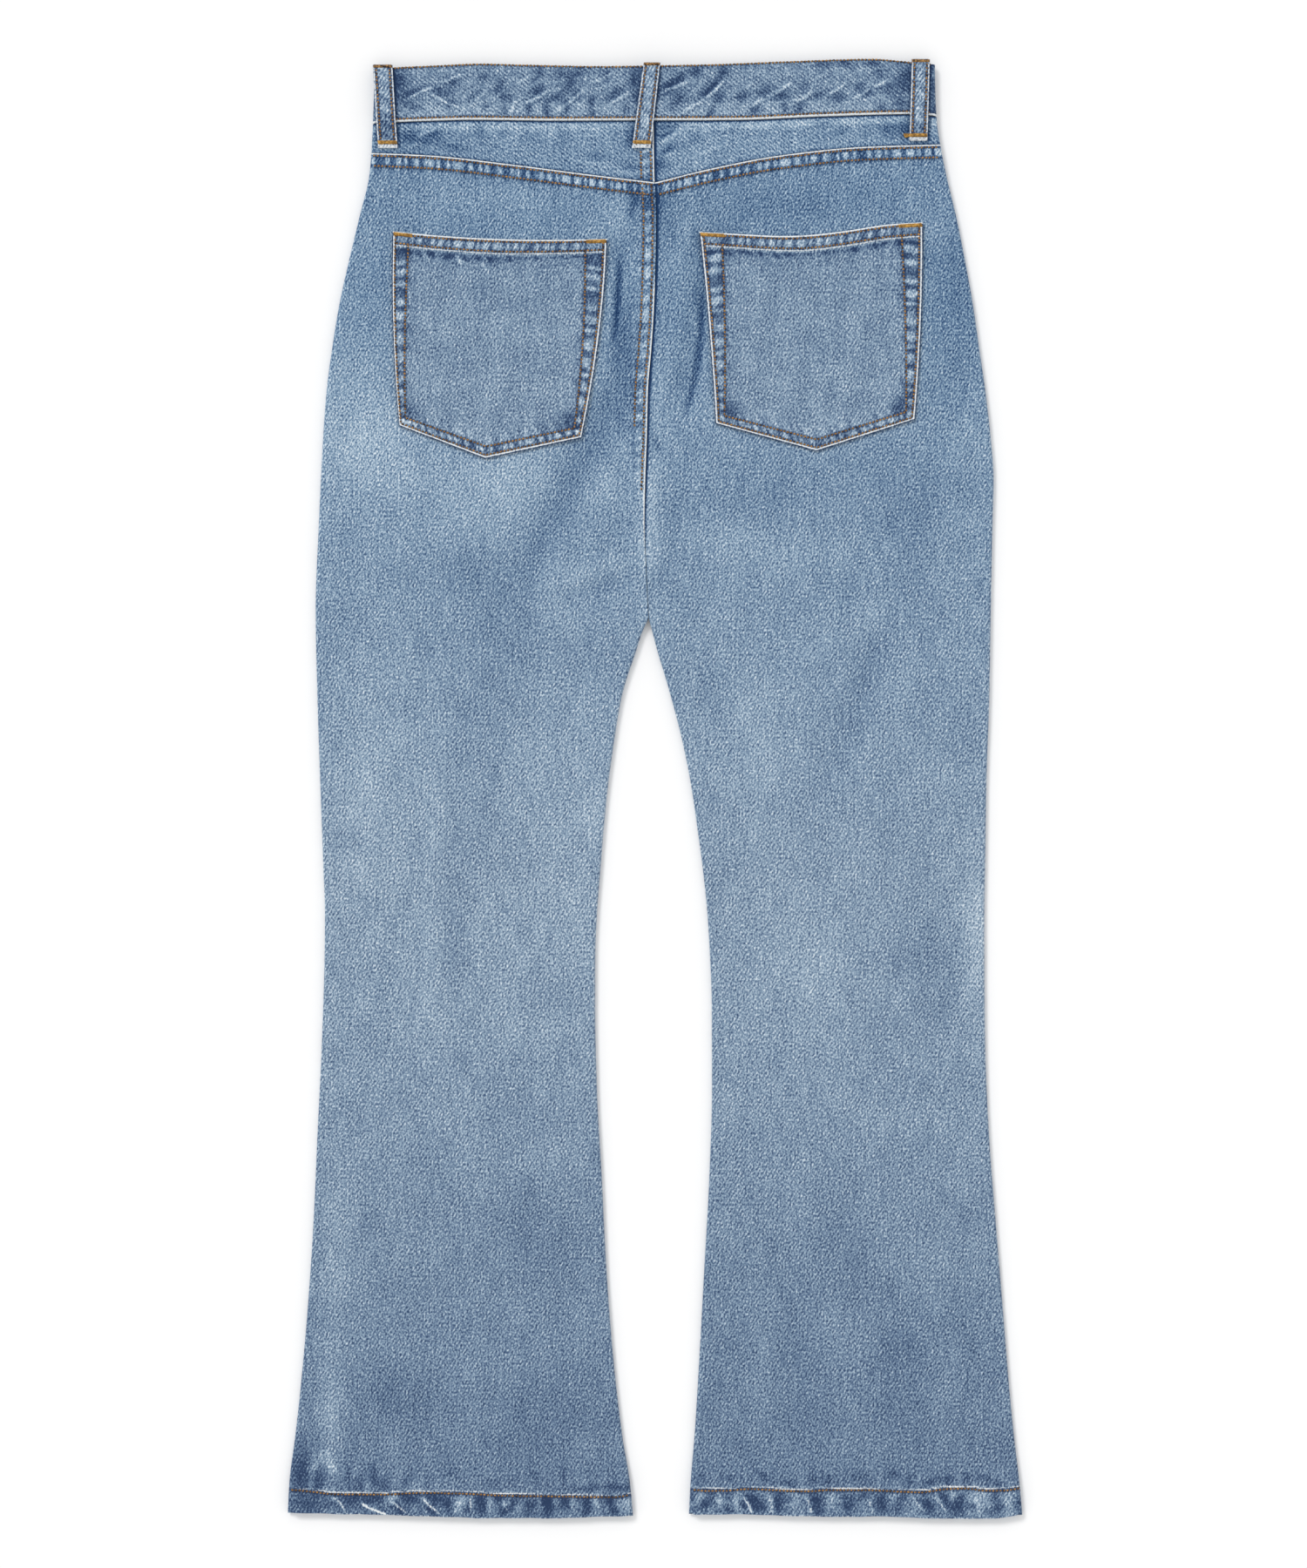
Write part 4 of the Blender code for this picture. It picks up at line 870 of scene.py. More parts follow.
def yokeHalf(name, node, table, left, right, overlaps):
    inner = innerLeft if overlaps else innerRight

    def across(share, x):
        top = smooth(waistSeam, x) - sewn["seamGap"]
        low = smooth(table, x) + sewn["seamGap"] / 2
        return top + share * (low - top)

    surface = yokeSurface(inner, overlaps)
    share = columnShares(yokes["columns"], 1, overlaps)
    x, y, z = panelPlaces(across, spaced((0, 0.12, 0.02), (0.12, 0.9, 0.03), (0.9, 1.0, 0.02)),
                          left, right, share, surface, 1)
    below = smooth(waistSeam, x) - y
    above = y - smooth(table, x)
    beside = np.abs(x - inner(y))
    wearAndShade = washAt(x, y) - loopShadowLines(x, y) + strokes(yokeCreases, x, y)[1] * yokes["creasePale"]
    wearAndShade = wearAndShade + patches(yokePatches, x, y) + yokes["paler"] + yokes["rightPaler"] * (x > 0)
    wearAndShade = wearAndShade - yokes["bandShade"] * (1 - rise(0.4, 1.5, below))
    wearAndShade = wearAndShade - yokes["seamShade"] * (1 - rise(0.5, 2.4, above))
    wearAndShade = wearAndShade + 0.26 * between(1.8, 6.4, below, 0.8)
    wearAndShade = wearAndShade + 0.14 * mottle(x * 0.5, y, 9, 31) * between(1, 14, below, 3)
    white = np.zeros_like(x)
    if overlaps:
        seatWashAndShade, seatWhite = seamWashAndShade(y, beside, yokes["seatRows"], yokes["seatPitch"], 6.0, 0.35)
        wearAndShade = wearAndShade + 0.6 * seatWashAndShade + 0.10 * between(0, 9, beside)
        white = seatWhite
    else:
        # painted shadow where this side dips under the other one, and a broader painted shade beside it
        wearAndShade = wearAndShade - 1.6 * (1 - rise(0.5, 1.9, beside)) - 0.25 * (1 - rise(1, 5, beside))
    return clothPiece(name, node, [(x, y, z, wearAndShade, white, sewn["cloth"])], yokeDenim)


yokeLeft = yokeHalf("yokeLeftHalf", "yoke_left", yokeSeamLeft, outerLeftEdge, innerLeftEdge, True)
yokeRight = yokeHalf("yokeRightHalf", "yoke_right", yokeSeamRight, innerRightEdge, outerRightEdge, False)
print("Yoke made")


# The waistband, a folded strip whose ends meet at the centre front
waistband = dict(
    backZ=7.6, frontZ=1.6, crown=0.25, topRound=1.2, lowRound=0.9,
    backColumns=400, frontColumns=52, turnSteps=10,
    patchy=1.1, creasePale=1.1, creaseWhite=0.65,       # how strongly the wash marks its puckers
    lowWhite=1.15, topWhite=0.15,                       # its worn edges
)
bandRows = (0.052, 0.984)           # the rows of stitching, as shares of the height
bandCreases = (
    (-172.5, 474.6, -160, 481, -151, 484, 1.1, 0.35, 1.2),
    (-157, 482, -145.6, 474, -131.4, 468.6, 0.9, 0.25, 0.9),
    (-145.6, 486, -138.5, 490.5, -131.4, 493.3, 1.0, 0.25, 1.0), (-128, 470, -114, 484, 1.4, 0.25, 0.5),
    (-101, 464, -95, 476, 1.1, 0.30, 0.8), (-92, 472, -80, 477, -72, 484, 1.1, 0.40, 1.1),
    (-70, 466, -58, 474, -48, 484, 1.2, 0.35, 0.9), (-45, 486, -36, 490, -26, 495, 1.0, 0.30, 0.9),
    (-32, 472, -24, 476, -17, 481, 1.1, 0.40, 1.2), (-57, 489, -50, 491, 1.0, 0.2, 0.7),
    (-95, 486, -86, 492, 1.0, 0.2, 0.7), (3.6, 480, 14, 484, 25.5, 489, 1.3, 0.45, 1.2),
    (18, 466, 34, 475, 1.2, 0.25, 0.7), (48.8, 490, 40, 480.5, 33.5, 476, 1.0, 0.55, 1.6),
    (66.2, 470.4, 71, 474, 76.4, 476.2, 1.0, 0.35, 1.1), (60, 483, 68, 487, 1.0, 0.2, 0.6),
    (80, 479, 88, 483, 95, 488, 1.1, 0.35, 0.9), (96.2, 474, 103, 477, 109, 482.7, 1.1, 0.35, 1.1),
    (118, 478.5, 125, 482, 131.6, 487, 1.0, 0.35, 1.1),
    (134.4, 475, 142, 479, 148.6, 484, 1.0, 0.35, 1.1), (149, 484, 155, 486, 160, 489, 1.0, 0.30, 0.9),
    (108, 489, 116, 493, 1.0, 0.2, 0.6), (-112, 474, -106, 480, 0.9, 0.2, 0.7),
)
bandPatches = (
    (-176, 488, 8, 5, 90, -0.6), (-167, 480, 7, 3, 25, -0.6), (-166, 471, 8, 3, -10, -0.5),
    (-148, 481, 6, 4, 0, -0.5), (-139, 486, 5, 4, 30, -0.5), (-118, 491, 4, 3, 60, -0.5),
    (-107, 485, 5, 3, 60, -0.6), (-124, 478, 6, 3, 30, -0.3), (-140, 473, 5, 3, 20, -0.4),
    (-103, 478, 5, 3, 0, -0.6), (-104, 469, 5, 2.2, 90, -0.6), (-117, 470, 3, 2, 60, -0.5),
    (-81, 481, 5, 4, 45, -0.7), (-80, 494, 5, 3, 60, -0.5), (-64, 493, 5, 3, 20, -0.5),
    (-58, 487, 6, 4, 40, -0.7), (-52, 494, 5, 3, 0, -0.5), (-67, 477, 7, 3, 25, -0.6),
    (-75, 468, 5, 2.6, 100, -0.7), (-87, 469, 4, 2.4, 90, -0.7), (-61, 469, 5, 2.6, 90, -0.8),
    (-44, 473, 6, 2.6, 80, -0.7), (-43, 465, 3, 2, 90, -0.6), (-54, 478, 4, 2.5, 40, -0.5),
    (-28, 479, 7, 3, 30, -0.6), (-34, 492, 4, 3, 60, -0.4), (-14, 490, 8, 4, 80, -0.8),
    (-12, 478, 6, 3, 80, -0.5), (-20, 469, 5, 3, 60, -0.5), (10, 484, 8, 3.4, 30, -0.9),
    (18, 491, 5, 3, 30, -0.6), (28, 494, 4, 4, 90, -0.7), (46, 494, 5, 3.4, 60, -0.8),
    (37, 482, 9, 2.8, 40, -0.9), (15, 474, 8, 4, 40, -0.6), (38, 466, 5, 1.8, 60, -0.8),
    (44, 476, 5, 3, 45, -0.6), (60, 477, 4, 3.4, 45, -0.7), (75, 481, 6, 3.4, 20, -0.6),
    (69, 468, 5, 3, 40, -0.7), (87, 477, 5, 3.4, 10, -0.7), (89, 469, 4, 2.2, 90, -0.6),
    (100, 471, 5, 3, 45, -0.5), (102, 485, 5, 3, 30, -0.4), (112, 478, 5, 3, 30, -0.6),
    (125, 476, 6, 3.4, 10, -0.7), (141, 485, 4, 3, 30, -0.5), (146, 479, 4, 3, 20, -0.5),
    (132, 500, 5, 2.4, 0, -0.6), (150, 500, 5, 2.4, 0, -0.6), (116, 499, 6, 2.4, 0, -0.5),
    (155, 494, 5, 3.4, 40, -0.5), (171, 488, 9, 6, 70, -0.6), (98, 468, 4, 3, 40, -0.4),
    (156, 470, 4, 3, 40, -0.5), (161, 482, 4, 4, 0, -0.5), (168, 472, 5, 6, 90, -0.5),
)


def bandY(share, x, dip):
    low = smooth(waistSeam, x) + sewn["seamGap"] / 2
    return low + share * (smooth(waistTop, x) - low) - dip * frontDip(x)


def bandSurface(x, y):              # the back's outer face, with its creases and rounded edges
    low = smooth(waistSeam, x)
    high = smooth(waistTop, x)
    share = np.clip((y - low) / (high - low), 0, 1)
    ends = rise(0, 12, waist["half"] - np.abs(x))
    height = strokes(bandCreases, x, y)[0] + 0.45 * patches(bandPatches, x, y)
    height = height + 0.08 * mottle(x, y, 11, 12) + waistband["crown"] * np.sin(math.pi * share)
    return bandFace(x) + height * ends


def edgeDrop(distance, radius):     # how far a rounded edge has dropped
    d = np.clip(distance / radius, 0, 1)
    return radius * (1 - np.sqrt(1 - (1 - d) ** 2)) * 0.8


def makeWaistband():
    look = waistband
    shares = spaced((1.0, 0.93, 0.0125), (0.93, 0.12, 0.026), (0.12, 0.0, 0.0125))
    radius = (look["backZ"] - look["frontZ"]) / 2
    rows = []
    for share in shares:
        left = float(leftSide(bandY(share, -waist["half"], 0)))
        right = float(rightSide(bandY(share, waist["half"], 0)))
        turn = np.linspace(0, math.pi, look["turnSteps"] + 1)[1:-1]
        frontXs = np.linspace(-sewn["seamGap"] / 2, left + radius, look["frontColumns"] + 1)
        backXs = np.linspace(left + radius, right - radius, look["backColumns"] + 1)
        otherXs = np.linspace(right - radius, sewn["seamGap"] / 2, look["frontColumns"] + 1)
        leftXs = left + radius * (1 - np.sin(turn))
        rightXs = right - radius * (1 - np.sin(turn))
        backYs = bandY(share, backXs, 0)
        middleZ = look["frontZ"] + radius
        high = (1 - share) * waist["height"]
        low = share * waist["height"]
        drop = edgeDrop(high, look["topRound"]) + edgeDrop(low, look["lowRound"])
        xs = np.concatenate((frontXs, leftXs, backXs, rightXs, otherXs))
        ys = np.concatenate((bandY(share, frontXs, 1), bandY(share, leftXs, 0), backYs,
                             bandY(share, rightXs, 0), bandY(share, otherXs, 1)))
        rounded = (radius - drop) * np.cos(turn)
        zs = np.concatenate((look["frontZ"] + buttonLift(frontXs) + drop, middleZ - rounded,
                             bandSurface(backXs, backYs) - drop, middleZ + rounded,
                             look["frontZ"] + buttonLift(otherXs) + drop))
        rows.append((xs, ys, zs))
    x, y, z = (np.array([row[k] for row in rows]) for k in range(3))
    onBack = np.zeros(x.shape[1], dtype=bool)
    first = look["frontColumns"] + look["turnSteps"]
    onBack[first:first + look["backColumns"] + 1] = True
    down = (1 - shares)[:, None] * waist["height"]
    up = shares[:, None] * waist["height"]
    creasePale = strokes(bandCreases, x, y)[1]
    behind = -0.03 + look["patchy"] * patches(bandPatches, x, y) + creasePale * look["creasePale"]
    behind = behind + 0.12 * mottle(x - y, x + y, 9, 14) + 0.16 * between(3, 12, up, 2)
    front = -0.05 + 0.30 * mottle(x - y, y * 0.5, 9, 16)
    wearAndShade = np.where(onBack, behind, front)
    # painted shade in the grooves of the two rows of stitching, and painted shadow beside the belt loops
    wearAndShade = wearAndShade + 0.8 * stitchGrooveShade(up - bandRows[0] * waist["height"]) + 0.5 * stitchGrooveShade(down - 0.8)
    wearAndShade = wearAndShade - 0.30 * rise(160, 186, np.abs(x)) - np.where(onBack, loopShadowLines(x, y), 0)
    white = look["lowWhite"] * (1 - rise(1.2, 1.7, up)) + look["topWhite"] * (1 - rise(0.4, 1.2, down))
    white = np.maximum(white, np.where(onBack, look["creaseWhite"] * creasePale, 0))
    return clothPiece("waistbandStrip", "waistband", [(x, y, z, wearAndShade, white, sewn["bandCloth"])],
                      bandDenim, rounding=0.6)


band = makeWaistband()
print("Waistband made")


# Back pockets: five sides, turned edges and a hem along the top
pocketLook = dict(
    rim=0.4, rimWidth=9.5, hem=0.8, hemWidth=11.2, topRows=(1.9, 8.8), bottomRow=8.0,
    sidePitch=10.2, bottomPitch=7.2, topPitch=6.6, pucker=0.18, columns=96,
    bars=0.46, drips=0.55,              # how strongly the wash marks the rows and the cloth under the hem
    shade=1.8, whiteEdge=1.15, whiteHem=1.05,
)
# topLeft to bottomRight: the corners, and the middles of the curved sides
# rowsIn: the outer row of stitching, and the inner row at the top and at the bottom, in from each side
# tacks: how far the bar tacks reach in from the two upper corners
# mouthWave: where along the mouth, as a share, its edge bulges, how wide, and how far up
pockets = dict(
    pocket_left=dict(
        topLeft=(-180.6, 384.6), top=(-108.0, 379.2), topRight=(-33.0, 379.4),
        left=(-180.7, 318.0), right=(-38.2, 314.0),
        bottomLeft=(-176.4, 250.8), point=(-117.0, 228.0), bottomRight=(-50.6, 242.4),
        rowsIn=((2.0, 11.6, 6.4), (2.6, 14.8, 7.4)), tacks=(14.0, 14.0), mouthWave=(),
    ),
    pocket_right=dict(
        topLeft=(30.2, 384.2), top=(107.0, 383.5), topRight=(184.2, 390.8),
        left=(36.8, 318.0), right=(183.2, 323.0),
        bottomLeft=(41.4, 252.2), point=(111.0, 233.2), bottomRight=(178.8, 255.0),
        rowsIn=((2.7, 14.8, 7.0), (2.6, 14.4, 7.4)), tacks=(16.5, 16.0),
        mouthWave=((0.42, 0.20, -1.7), (0.83, 0.13, 1.5)),
    ),
)
pocketSize = 148.0                      # a pocket is laid out on a square of this side, then bent
pocketCreases = (
    (-161, 373, -156, 364, 1.5, 0.25, 0.9), (-139, 370, -132, 361, 1.5, 0.25, 0.9),
    (-121, 364, -115, 357, 1.5, 0.20, 0.6), (63, 376, 68, 366, 1.4, 0.20, 0.5),
    (146, 378, 139, 366, 1.4, 0.20, 0.4), (164, 380, 158, 366, 1.5, 0.20, 0.5),
)


def bend(start, mid, end, t):
    return [2 * (t - 0.5) * (t - 1) * start[k] + 4 * t * (1 - t) * mid[k] + 2 * t * (t - 0.5) * end[k]
            for k in range(2)]


def pocketPlaces(shape, across, down):      # x and y at distances in from the left edge and from the top
    u, v = across / pocketSize, down / pocketSize
    top = bend(shape["topLeft"], shape["top"], shape["topRight"], u)
    left = bend(shape["topLeft"], shape["left"], shape["bottomLeft"], v)
    right = bend(shape["topRight"], shape["right"], shape["bottomRight"], v)
    half = 2 * np.minimum(u, 1 - u)
    made = []
    for k in range(2):
        corner = np.where(u < 0.5, shape["bottomLeft"][k], shape["bottomRight"][k])
        bottom = corner + half * (shape["point"][k] - corner)
        square = ((1 - v) * ((1 - u) * shape["topLeft"][k] + u * shape["topRight"][k])
                  + v * ((1 - u) * shape["bottomLeft"][k] + u * shape["bottomRight"][k]))
        made.append((1 - v) * top[k] + v * bottom + (1 - u) * left[k] + u * right[k] - square)
    atMouth = (1 - rise(0, 0.35, v)) * rise(0, 0.06, u) * rise(0, 0.06, 1 - u)
    for place, width, up in shape["mouthWave"]:
        made[1] = made[1] + up * bell(u - place, width) * atMouth
    return made


def draped(surface, x, y, reach=4.0):       # cloth that bridges the dips of what it lies on
    steps = (-reach, 0, reach)
    return np.max([surface(x + dx, y + dy) for dx in steps for dy in steps], axis=0)


def rowsIn(shape, across, down):            # distance in from the nearer side, and that side's two rows
    isLeft = across < pocketSize / 2
    side = np.where(isLeft, across, pocketSize - across)
    outer, top, low = (np.where(isLeft, a, b) for a, b in zip(*shape["rowsIn"]))
    share = np.clip(down / (pocketSize - pocketLook["bottomRow"]), 0, 1)
    return side, outer, top + (low - top) * share ** 1.2


def pocketCloth(across, down):
    side = np.minimum(across, pocketSize - across)
    rim = np.minimum(side, pocketSize - down)
    width = pocketLook["rimWidth"]
    thick = sewn["cloth"] + pocketLook["rim"] * (1 - rise(width - 0.6, width + 1.4, rim))
    hem = pocketLook["hemWidth"]
    return np.maximum(thick, sewn["cloth"] + pocketLook["hem"] * (1 - rise(hem - 1.2, hem + 0.4, down)))


def pocketSurface(shape, across, down):
    x, y = pocketPlaces(shape, across, down)
    side = np.minimum(across, pocketSize - across)
    rim = np.minimum(np.minimum(side, pocketSize - down), down)
    along = np.where(side < pocketSize - down, down, across)
    ripple = pocketLook["pucker"] * (marble(along, rim, pocketLook["sidePitch"], 2.6, 8.0, 4.0)
                                     + 0.5 * mottle(x, y, 13, 33))
    z = draped(backFace, x, y) + sewn["layGap"] + pocketCloth(across, down) + ripple * rise(0, 2, rim)
    return x, y, z - 0.5 * edgeDrop(rim, 1.0)


def pocketLooks(shape, across, down, x, y, seed):       # wear with painted shade, and whitening
    look = pocketLook
    side, outer, inner = rowsIn(shape, across, down)
    bottom = pocketSize - down
    rim = np.minimum(side, bottom)
    high, low = look["topRows"]
    onSide = rise(-1.5, 1.5, bottom * 1.35 - side) * rise(11.4, 12.6, down)
    onBottom = (1 - onSide) * rise(20, 24, down)
    strip = between(0, 1, (side - outer) / (inner - outer), 0.08) * onSide      # between the two rows
    bottomStrip = between(2.9, look["bottomRow"] - 0.7, bottom) * onBottom
    sideBars = marble(down, side, look["sidePitch"], *everywhere, seed, lean=0.3) * strip
    bottomBars = marble(across, bottom, look["bottomPitch"], *everywhere, seed + 1) * bottomStrip
    topBars = marble(across, down, look["topPitch"], high + 0.7, low - 0.7, seed + 2, lean=0.2)
    bars = sideBars + bottomBars + 1.2 * topBars * rise(13, 16, side)
    wearAndShade = -0.02 + 0.5 * washAt(x, y) + 0.08 * mottle(x, y, 24, 35) + look["bars"] * bars
    wearAndShade = wearAndShade + (0.26 * mottle(x, y * 0.8, 6.5, int(seed) + 38) - 0.10) * (strip + bottomStrip)
    wearAndShade = wearAndShade + 0.30 * between(low + 0.6, low + 2.4, down) + strokes(pocketCreases, x, y)[1] * 0.8

    # Dark drips under the mouth's hem
    drips = marble(across, down, 10.5, *everywhere, seed + 3, lean=-0.4) + 0.6 * mottle(x, y, 9, 37)
    fall = low + 6.4 + 1.8 * mottle(x, 0 * x, 12, 38)
    wearAndShade = wearAndShade - (0.28 + look["drips"] * np.maximum(drips, 0)) * between(low + 3.2, fall, down, 0.9)
    wearAndShade = wearAndShade - 0.10 * between(low + 3, low + 14, down, 3)

    # Specks beside the inner row, puckers over the foot, and the corners
    specks = np.maximum(mottle(x * 0.8, y * 0.8, 6, 36), 0) * between(0.6, 5, side - inner, 1.5)
    wearAndShade = wearAndShade - 0.28 * specks * rise(12, 15, down)
    overFoot = between(look["bottomRow"] + 1, 15, bottom, 2) * (side > inner)
    wearAndShade = wearAndShade + 0.22 * marble(across, bottom, 8.8, *everywhere, seed + 4) * overFoot
    corners = bell(side - 13, 7) * bell(bottom - 14, 8)
    wearAndShade = wearAndShade - 0.55 * corners * (side > inner) * (bottom > look["bottomRow"])
    wearAndShade = wearAndShade + 0.45 * bell(side - 5, 4) * bell(bottom - 5, 4)

    # Painted shade in the grooves under the rows, and the worn edge, with a painted shadow line along the
    # outermost rim for the panel's shade beside it
    wearAndShade = wearAndShade + (stitchGrooveShade(side - outer) + stitchGrooveShade(side - inner)) * (bottom > 2)
    for distance in (bottom - 2.4, bottom - look["bottomRow"], down - high, down - low):
        wearAndShade = wearAndShade + stitchGrooveShade(distance)
    wearAndShade = wearAndShade - look["shade"] * (1 - rise(0.2, 0.6, rim))
    edge = np.maximum(between(0.55, 1.75, rim, 0.25), 1 - rise(0.8, 1.3, down))
    underHem = between(low + 1.0, low + 2.2, down, 0.4) * (side > outer)
    return wearAndShade, np.maximum(look["whiteEdge"] * edge, look["whiteHem"] * underHem)


def makePocket(name, node, shape, seed):
    near = np.array((0, 0.45, 0.9, 1.4, 2.0, 2.7, 3.5, 4.6, 5.7, 6.8, 7.8, 8.6, 9.4, 10.4, 11.4, 12.6))
    inside = np.linspace(near[-1], pocketSize - near[-1], pocketLook["columns"])[1:-1]
    spread = np.concatenate((near, inside, pocketSize - near[::-1]))
    across, down = np.meshgrid(spread, spread)
    x, y, z = pocketSurface(shape, across, down)
    wearAndShade, white = pocketLooks(shape, across, down, x, y, seed)
    return clothPiece(name, node, [(x, y, z, wearAndShade, white, pocketCloth(across, down))], pocketDenim)


pocketPieces = {
    "pocket_left": makePocket("patchPocketLeft", "pocket_left", pockets["pocket_left"], 1.0),
    "pocket_right": makePocket("patchPocketRight", "pocket_right", pockets["pocket_right"], 3.3),
}
print("Pockets made")


# Belt loops: strips that hook over the waistband's top and are sewn down below it
loopLook = dict(
    arch=0.7, archEnd=452,              # how far a loop stands off the waistband, and where it comes down
    hook=1.9, stand=sewn["layGap"] + sewn["loopCloth"],
    stitchIn=2.2,
)
loopSteps = 8                           # of its turn over the waistband's top
loopSide = np.array((1.3, 2.6, 3.6, 4.4, 5.3, 6.0, 6.5, loopHalf))
loopOffsets = np.concatenate((-loopSide[::-1], (0.0,), loopSide))       # columns across a loop


def loopTop(loop):
    return float(np.max(smooth(waistTop, loop[0] + loopOffsets))) + sewn["seamGap"] / 3


def onYoke(x, y):
    return backFace(x, y) + lap(np.abs(x - innerLeft(y)))


def loopSurface(loop, offset, y, height=None):     # the loop's face at a distance from its middle line
    topX, lowX, lowY, topWidth, lowWidth = loop
    top = loopTop(loop)
    share = (top - y) / (top - lowY)
    x = topX + share * (lowX - topX) + offset * (topWidth + share * (lowWidth - topWidth))
    down = 1 - rise(448, 459, y)
    level = (1 - down) * bandFace(x) + down * draped(onYoke, x, np.minimum(y, 460.0))
    arch = loopLook["arch"] * np.sin(math.pi * np.clip((top - y) / (top - loopLook["archEnd"]), 0, 1))
    stand = loopLook["stand"] if height is None else height
    edge = 0.30 * rise(5.4, loopHalf, np.abs(offset)) * (y < top)
    seam = 0.16 * bell(np.abs(offset) - (loopHalf - loopLook["stitchIn"]), 0.9) * (y < top)
    return x, level + stand + arch - edge - seam


def makeLoop(name, node, loop, dark):      # dark: how far up from its lower end the cloth stays dark
    top = loopTop(loop)
    turn = np.radians(np.linspace(0, 90, loopSteps + 1))
    hook = loopLook["hook"]
    ys = np.concatenate(([top + hook], top + hook * np.cos(turn), spaced((top - 2.2, loop[2], 2.0))))
    heights = np.concatenate(([-1.0], loopLook["stand"] + hook * (np.sin(turn) - 1),
                              np.full(len(ys) - loopSteps - 2, loopLook["stand"])))
    y = np.repeat(ys[:, None], len(loopOffsets), axis=1)
    height = np.repeat(heights[:, None], len(loopOffsets), axis=1)
    offset = np.broadcast_to(loopOffsets, y.shape)
    x, z = loopSurface(loop, offset, y, height)
    low = y - loop[2]
    beside = loopHalf - np.abs(offset)
    # painted shade in the grooves of the stitching, and a painted shadow line along the loop's outermost edges
    wearAndShade = 0.12 + 0.12 * mottle(x, y, 7, 51) + 1.3 * stitchGrooveShade(beside - loopLook["stitchIn"])
    wearAndShade = wearAndShade - 0.5 * (1 - rise(0, 0.4, beside))
    wearAndShade = wearAndShade - 0.60 * between(5, dark, low, 2.5) * (0.7 + 0.3 * mottle(x, y, 5, 52))
    wearAndShade = wearAndShade + 0.25 * marble(y, offset, 9.0, *everywhere, loop[0], lean=0.6) * rise(2.6, 3.4, beside)
    white = np.maximum(between(0.15, 0.95, beside, 0.2), 1 - rise(1.8, 2.6, low))
    return clothPiece(name, node, [(x, y, z, wearAndShade, white, sewn["loopCloth"])], loopDenim, rounding=0.35)


loopPieces = {key: makeLoop(name, key, loops[key], dark) for key, name, dark in (
    ("belt_loop_left", "beltLoopLeft", 23), ("belt_loop_centre", "beltLoopCentre", 5.5),
    ("belt_loop_right", "beltLoopRight", 10))}
print("Belt loops made")


# The hidden front: two leg panels, the strip behind the fly and two more loops
fronts = dict(
    columns=36, cloth=1.0, hemCloth=2.2,        # thinner than on the back, which leaves air between them
    thighX=130, thighY=60, thighPale=0.22,      # the thighs fade most
)
# Low creases: three points of each, half width, height and paleness
frontCreases = (
    (-60, 128, -36, 142, -14, 146, 8, 0.6, 0.2), (62, 126, 36, 140, 6, 144, 8, 0.6, 0.2),
    (-150, 150, -110, 128, -60, 122, 10, 0.7, 0.25), (150, 146, 112, 126, 60, 118, 10, 0.7, 0.25),
    (-160, -20, -120, -34, -80, -26, 12, 0.6, 0.2), (80, -40, 120, -22, 170, -32, 12, 0.6, 0.2),
    (-140, -60, -110, -70, -84, -64, 10, 0.5, 0.15), (96, -84, 124, -72, 160, -80, 10, 0.5, 0.15),
)


def frontLine(level, x):
    top = rise(340, 420, level) * (frontSeamY(x) - waist["frontLevel"])
    low = (1 - rise(-476, -420, level)) * (smooth(hemLine, x) - hemMean)
    return level + top + low


def frontPanel(name, node, left, right, seed):
    levels = spaced((waist["frontLevel"] - sewn["seamGap"], 430, 2.4), (430, crotchY, 5.0),
                    (crotchY, -470, 5.2), (-470, hemMean, 2.4))

    def surface(x, y):
        return frontFace(x, y) + np.maximum(strokes(frontCreases, x, y)[0], 0)

    share = np.linspace(0, 1, fronts["columns"] + 1)[1:-1]
    x, y, z = panelPlaces(frontLine, levels, left, right, share, surface, -1)
    above = y - smooth(hemLine, x)
    wearAndShade = smooth(washLevels, y) + 0.12 * mottle(x, y, 60, seed) + strokes(frontCreases, x, y)[1]
    thighs = bell(np.abs(x) - fronts["thighX"], 46) * bell(y - fronts["thighY"], 170)
    wearAndShade = wearAndShade + fronts["thighPale"] * thighs
    wearAndShade = wearAndShade + 0.24 * mottle(x, y * 0.5, 8, seed + 1) * between(0, 30, above, 4)
    cloth = np.where(above < sewn["hemDepth"] + 0.3, fronts["hemCloth"], fronts["cloth"])
    return clothPiece(name, node, [(x, y, z, wearAndShade, 0.0, cloth)], legDenim, facesDown=True)


frontLeft = frontPanel("frontLegLeft", "front_left", outerLeftEdge, innerLeftEdge, 61)
frontRight = frontPanel("frontLegRight", "front_right", innerRightEdge, outerRightEdge, 64)


flyShield = dict(top=436.5, low=210, left=-18, right=20, narrowing=(16, 4), wall=0.9)


def makeShield():                   # it narrows to its lower end
    ys = spaced((flyShield["top"], flyShield["low"], 4.0))
    narrow = rise(262, 206, ys)
    shares = np.linspace(0, 1, 12)
    left = flyShield["left"] + flyShield["narrowing"][0] * narrow
    right = flyShield["right"] - flyShield["narrowing"][1] * narrow
    x = left[:, None] + shares * (right - left)[:, None]
    y = np.repeat(ys[:, None], len(shares), axis=1)
    z = frontFace(x, y) + sewn["cloth"] + sewn["seamGap"] + sewn["shieldCloth"]
    return clothPiece("flyShieldStrip", "fly_shield", [(x, y, z, 0.0, 0.0, flyShield["wall"])], legDenim)


shield = makeShield()


frontLoop = dict(top=490, low=436, wall=1.1)


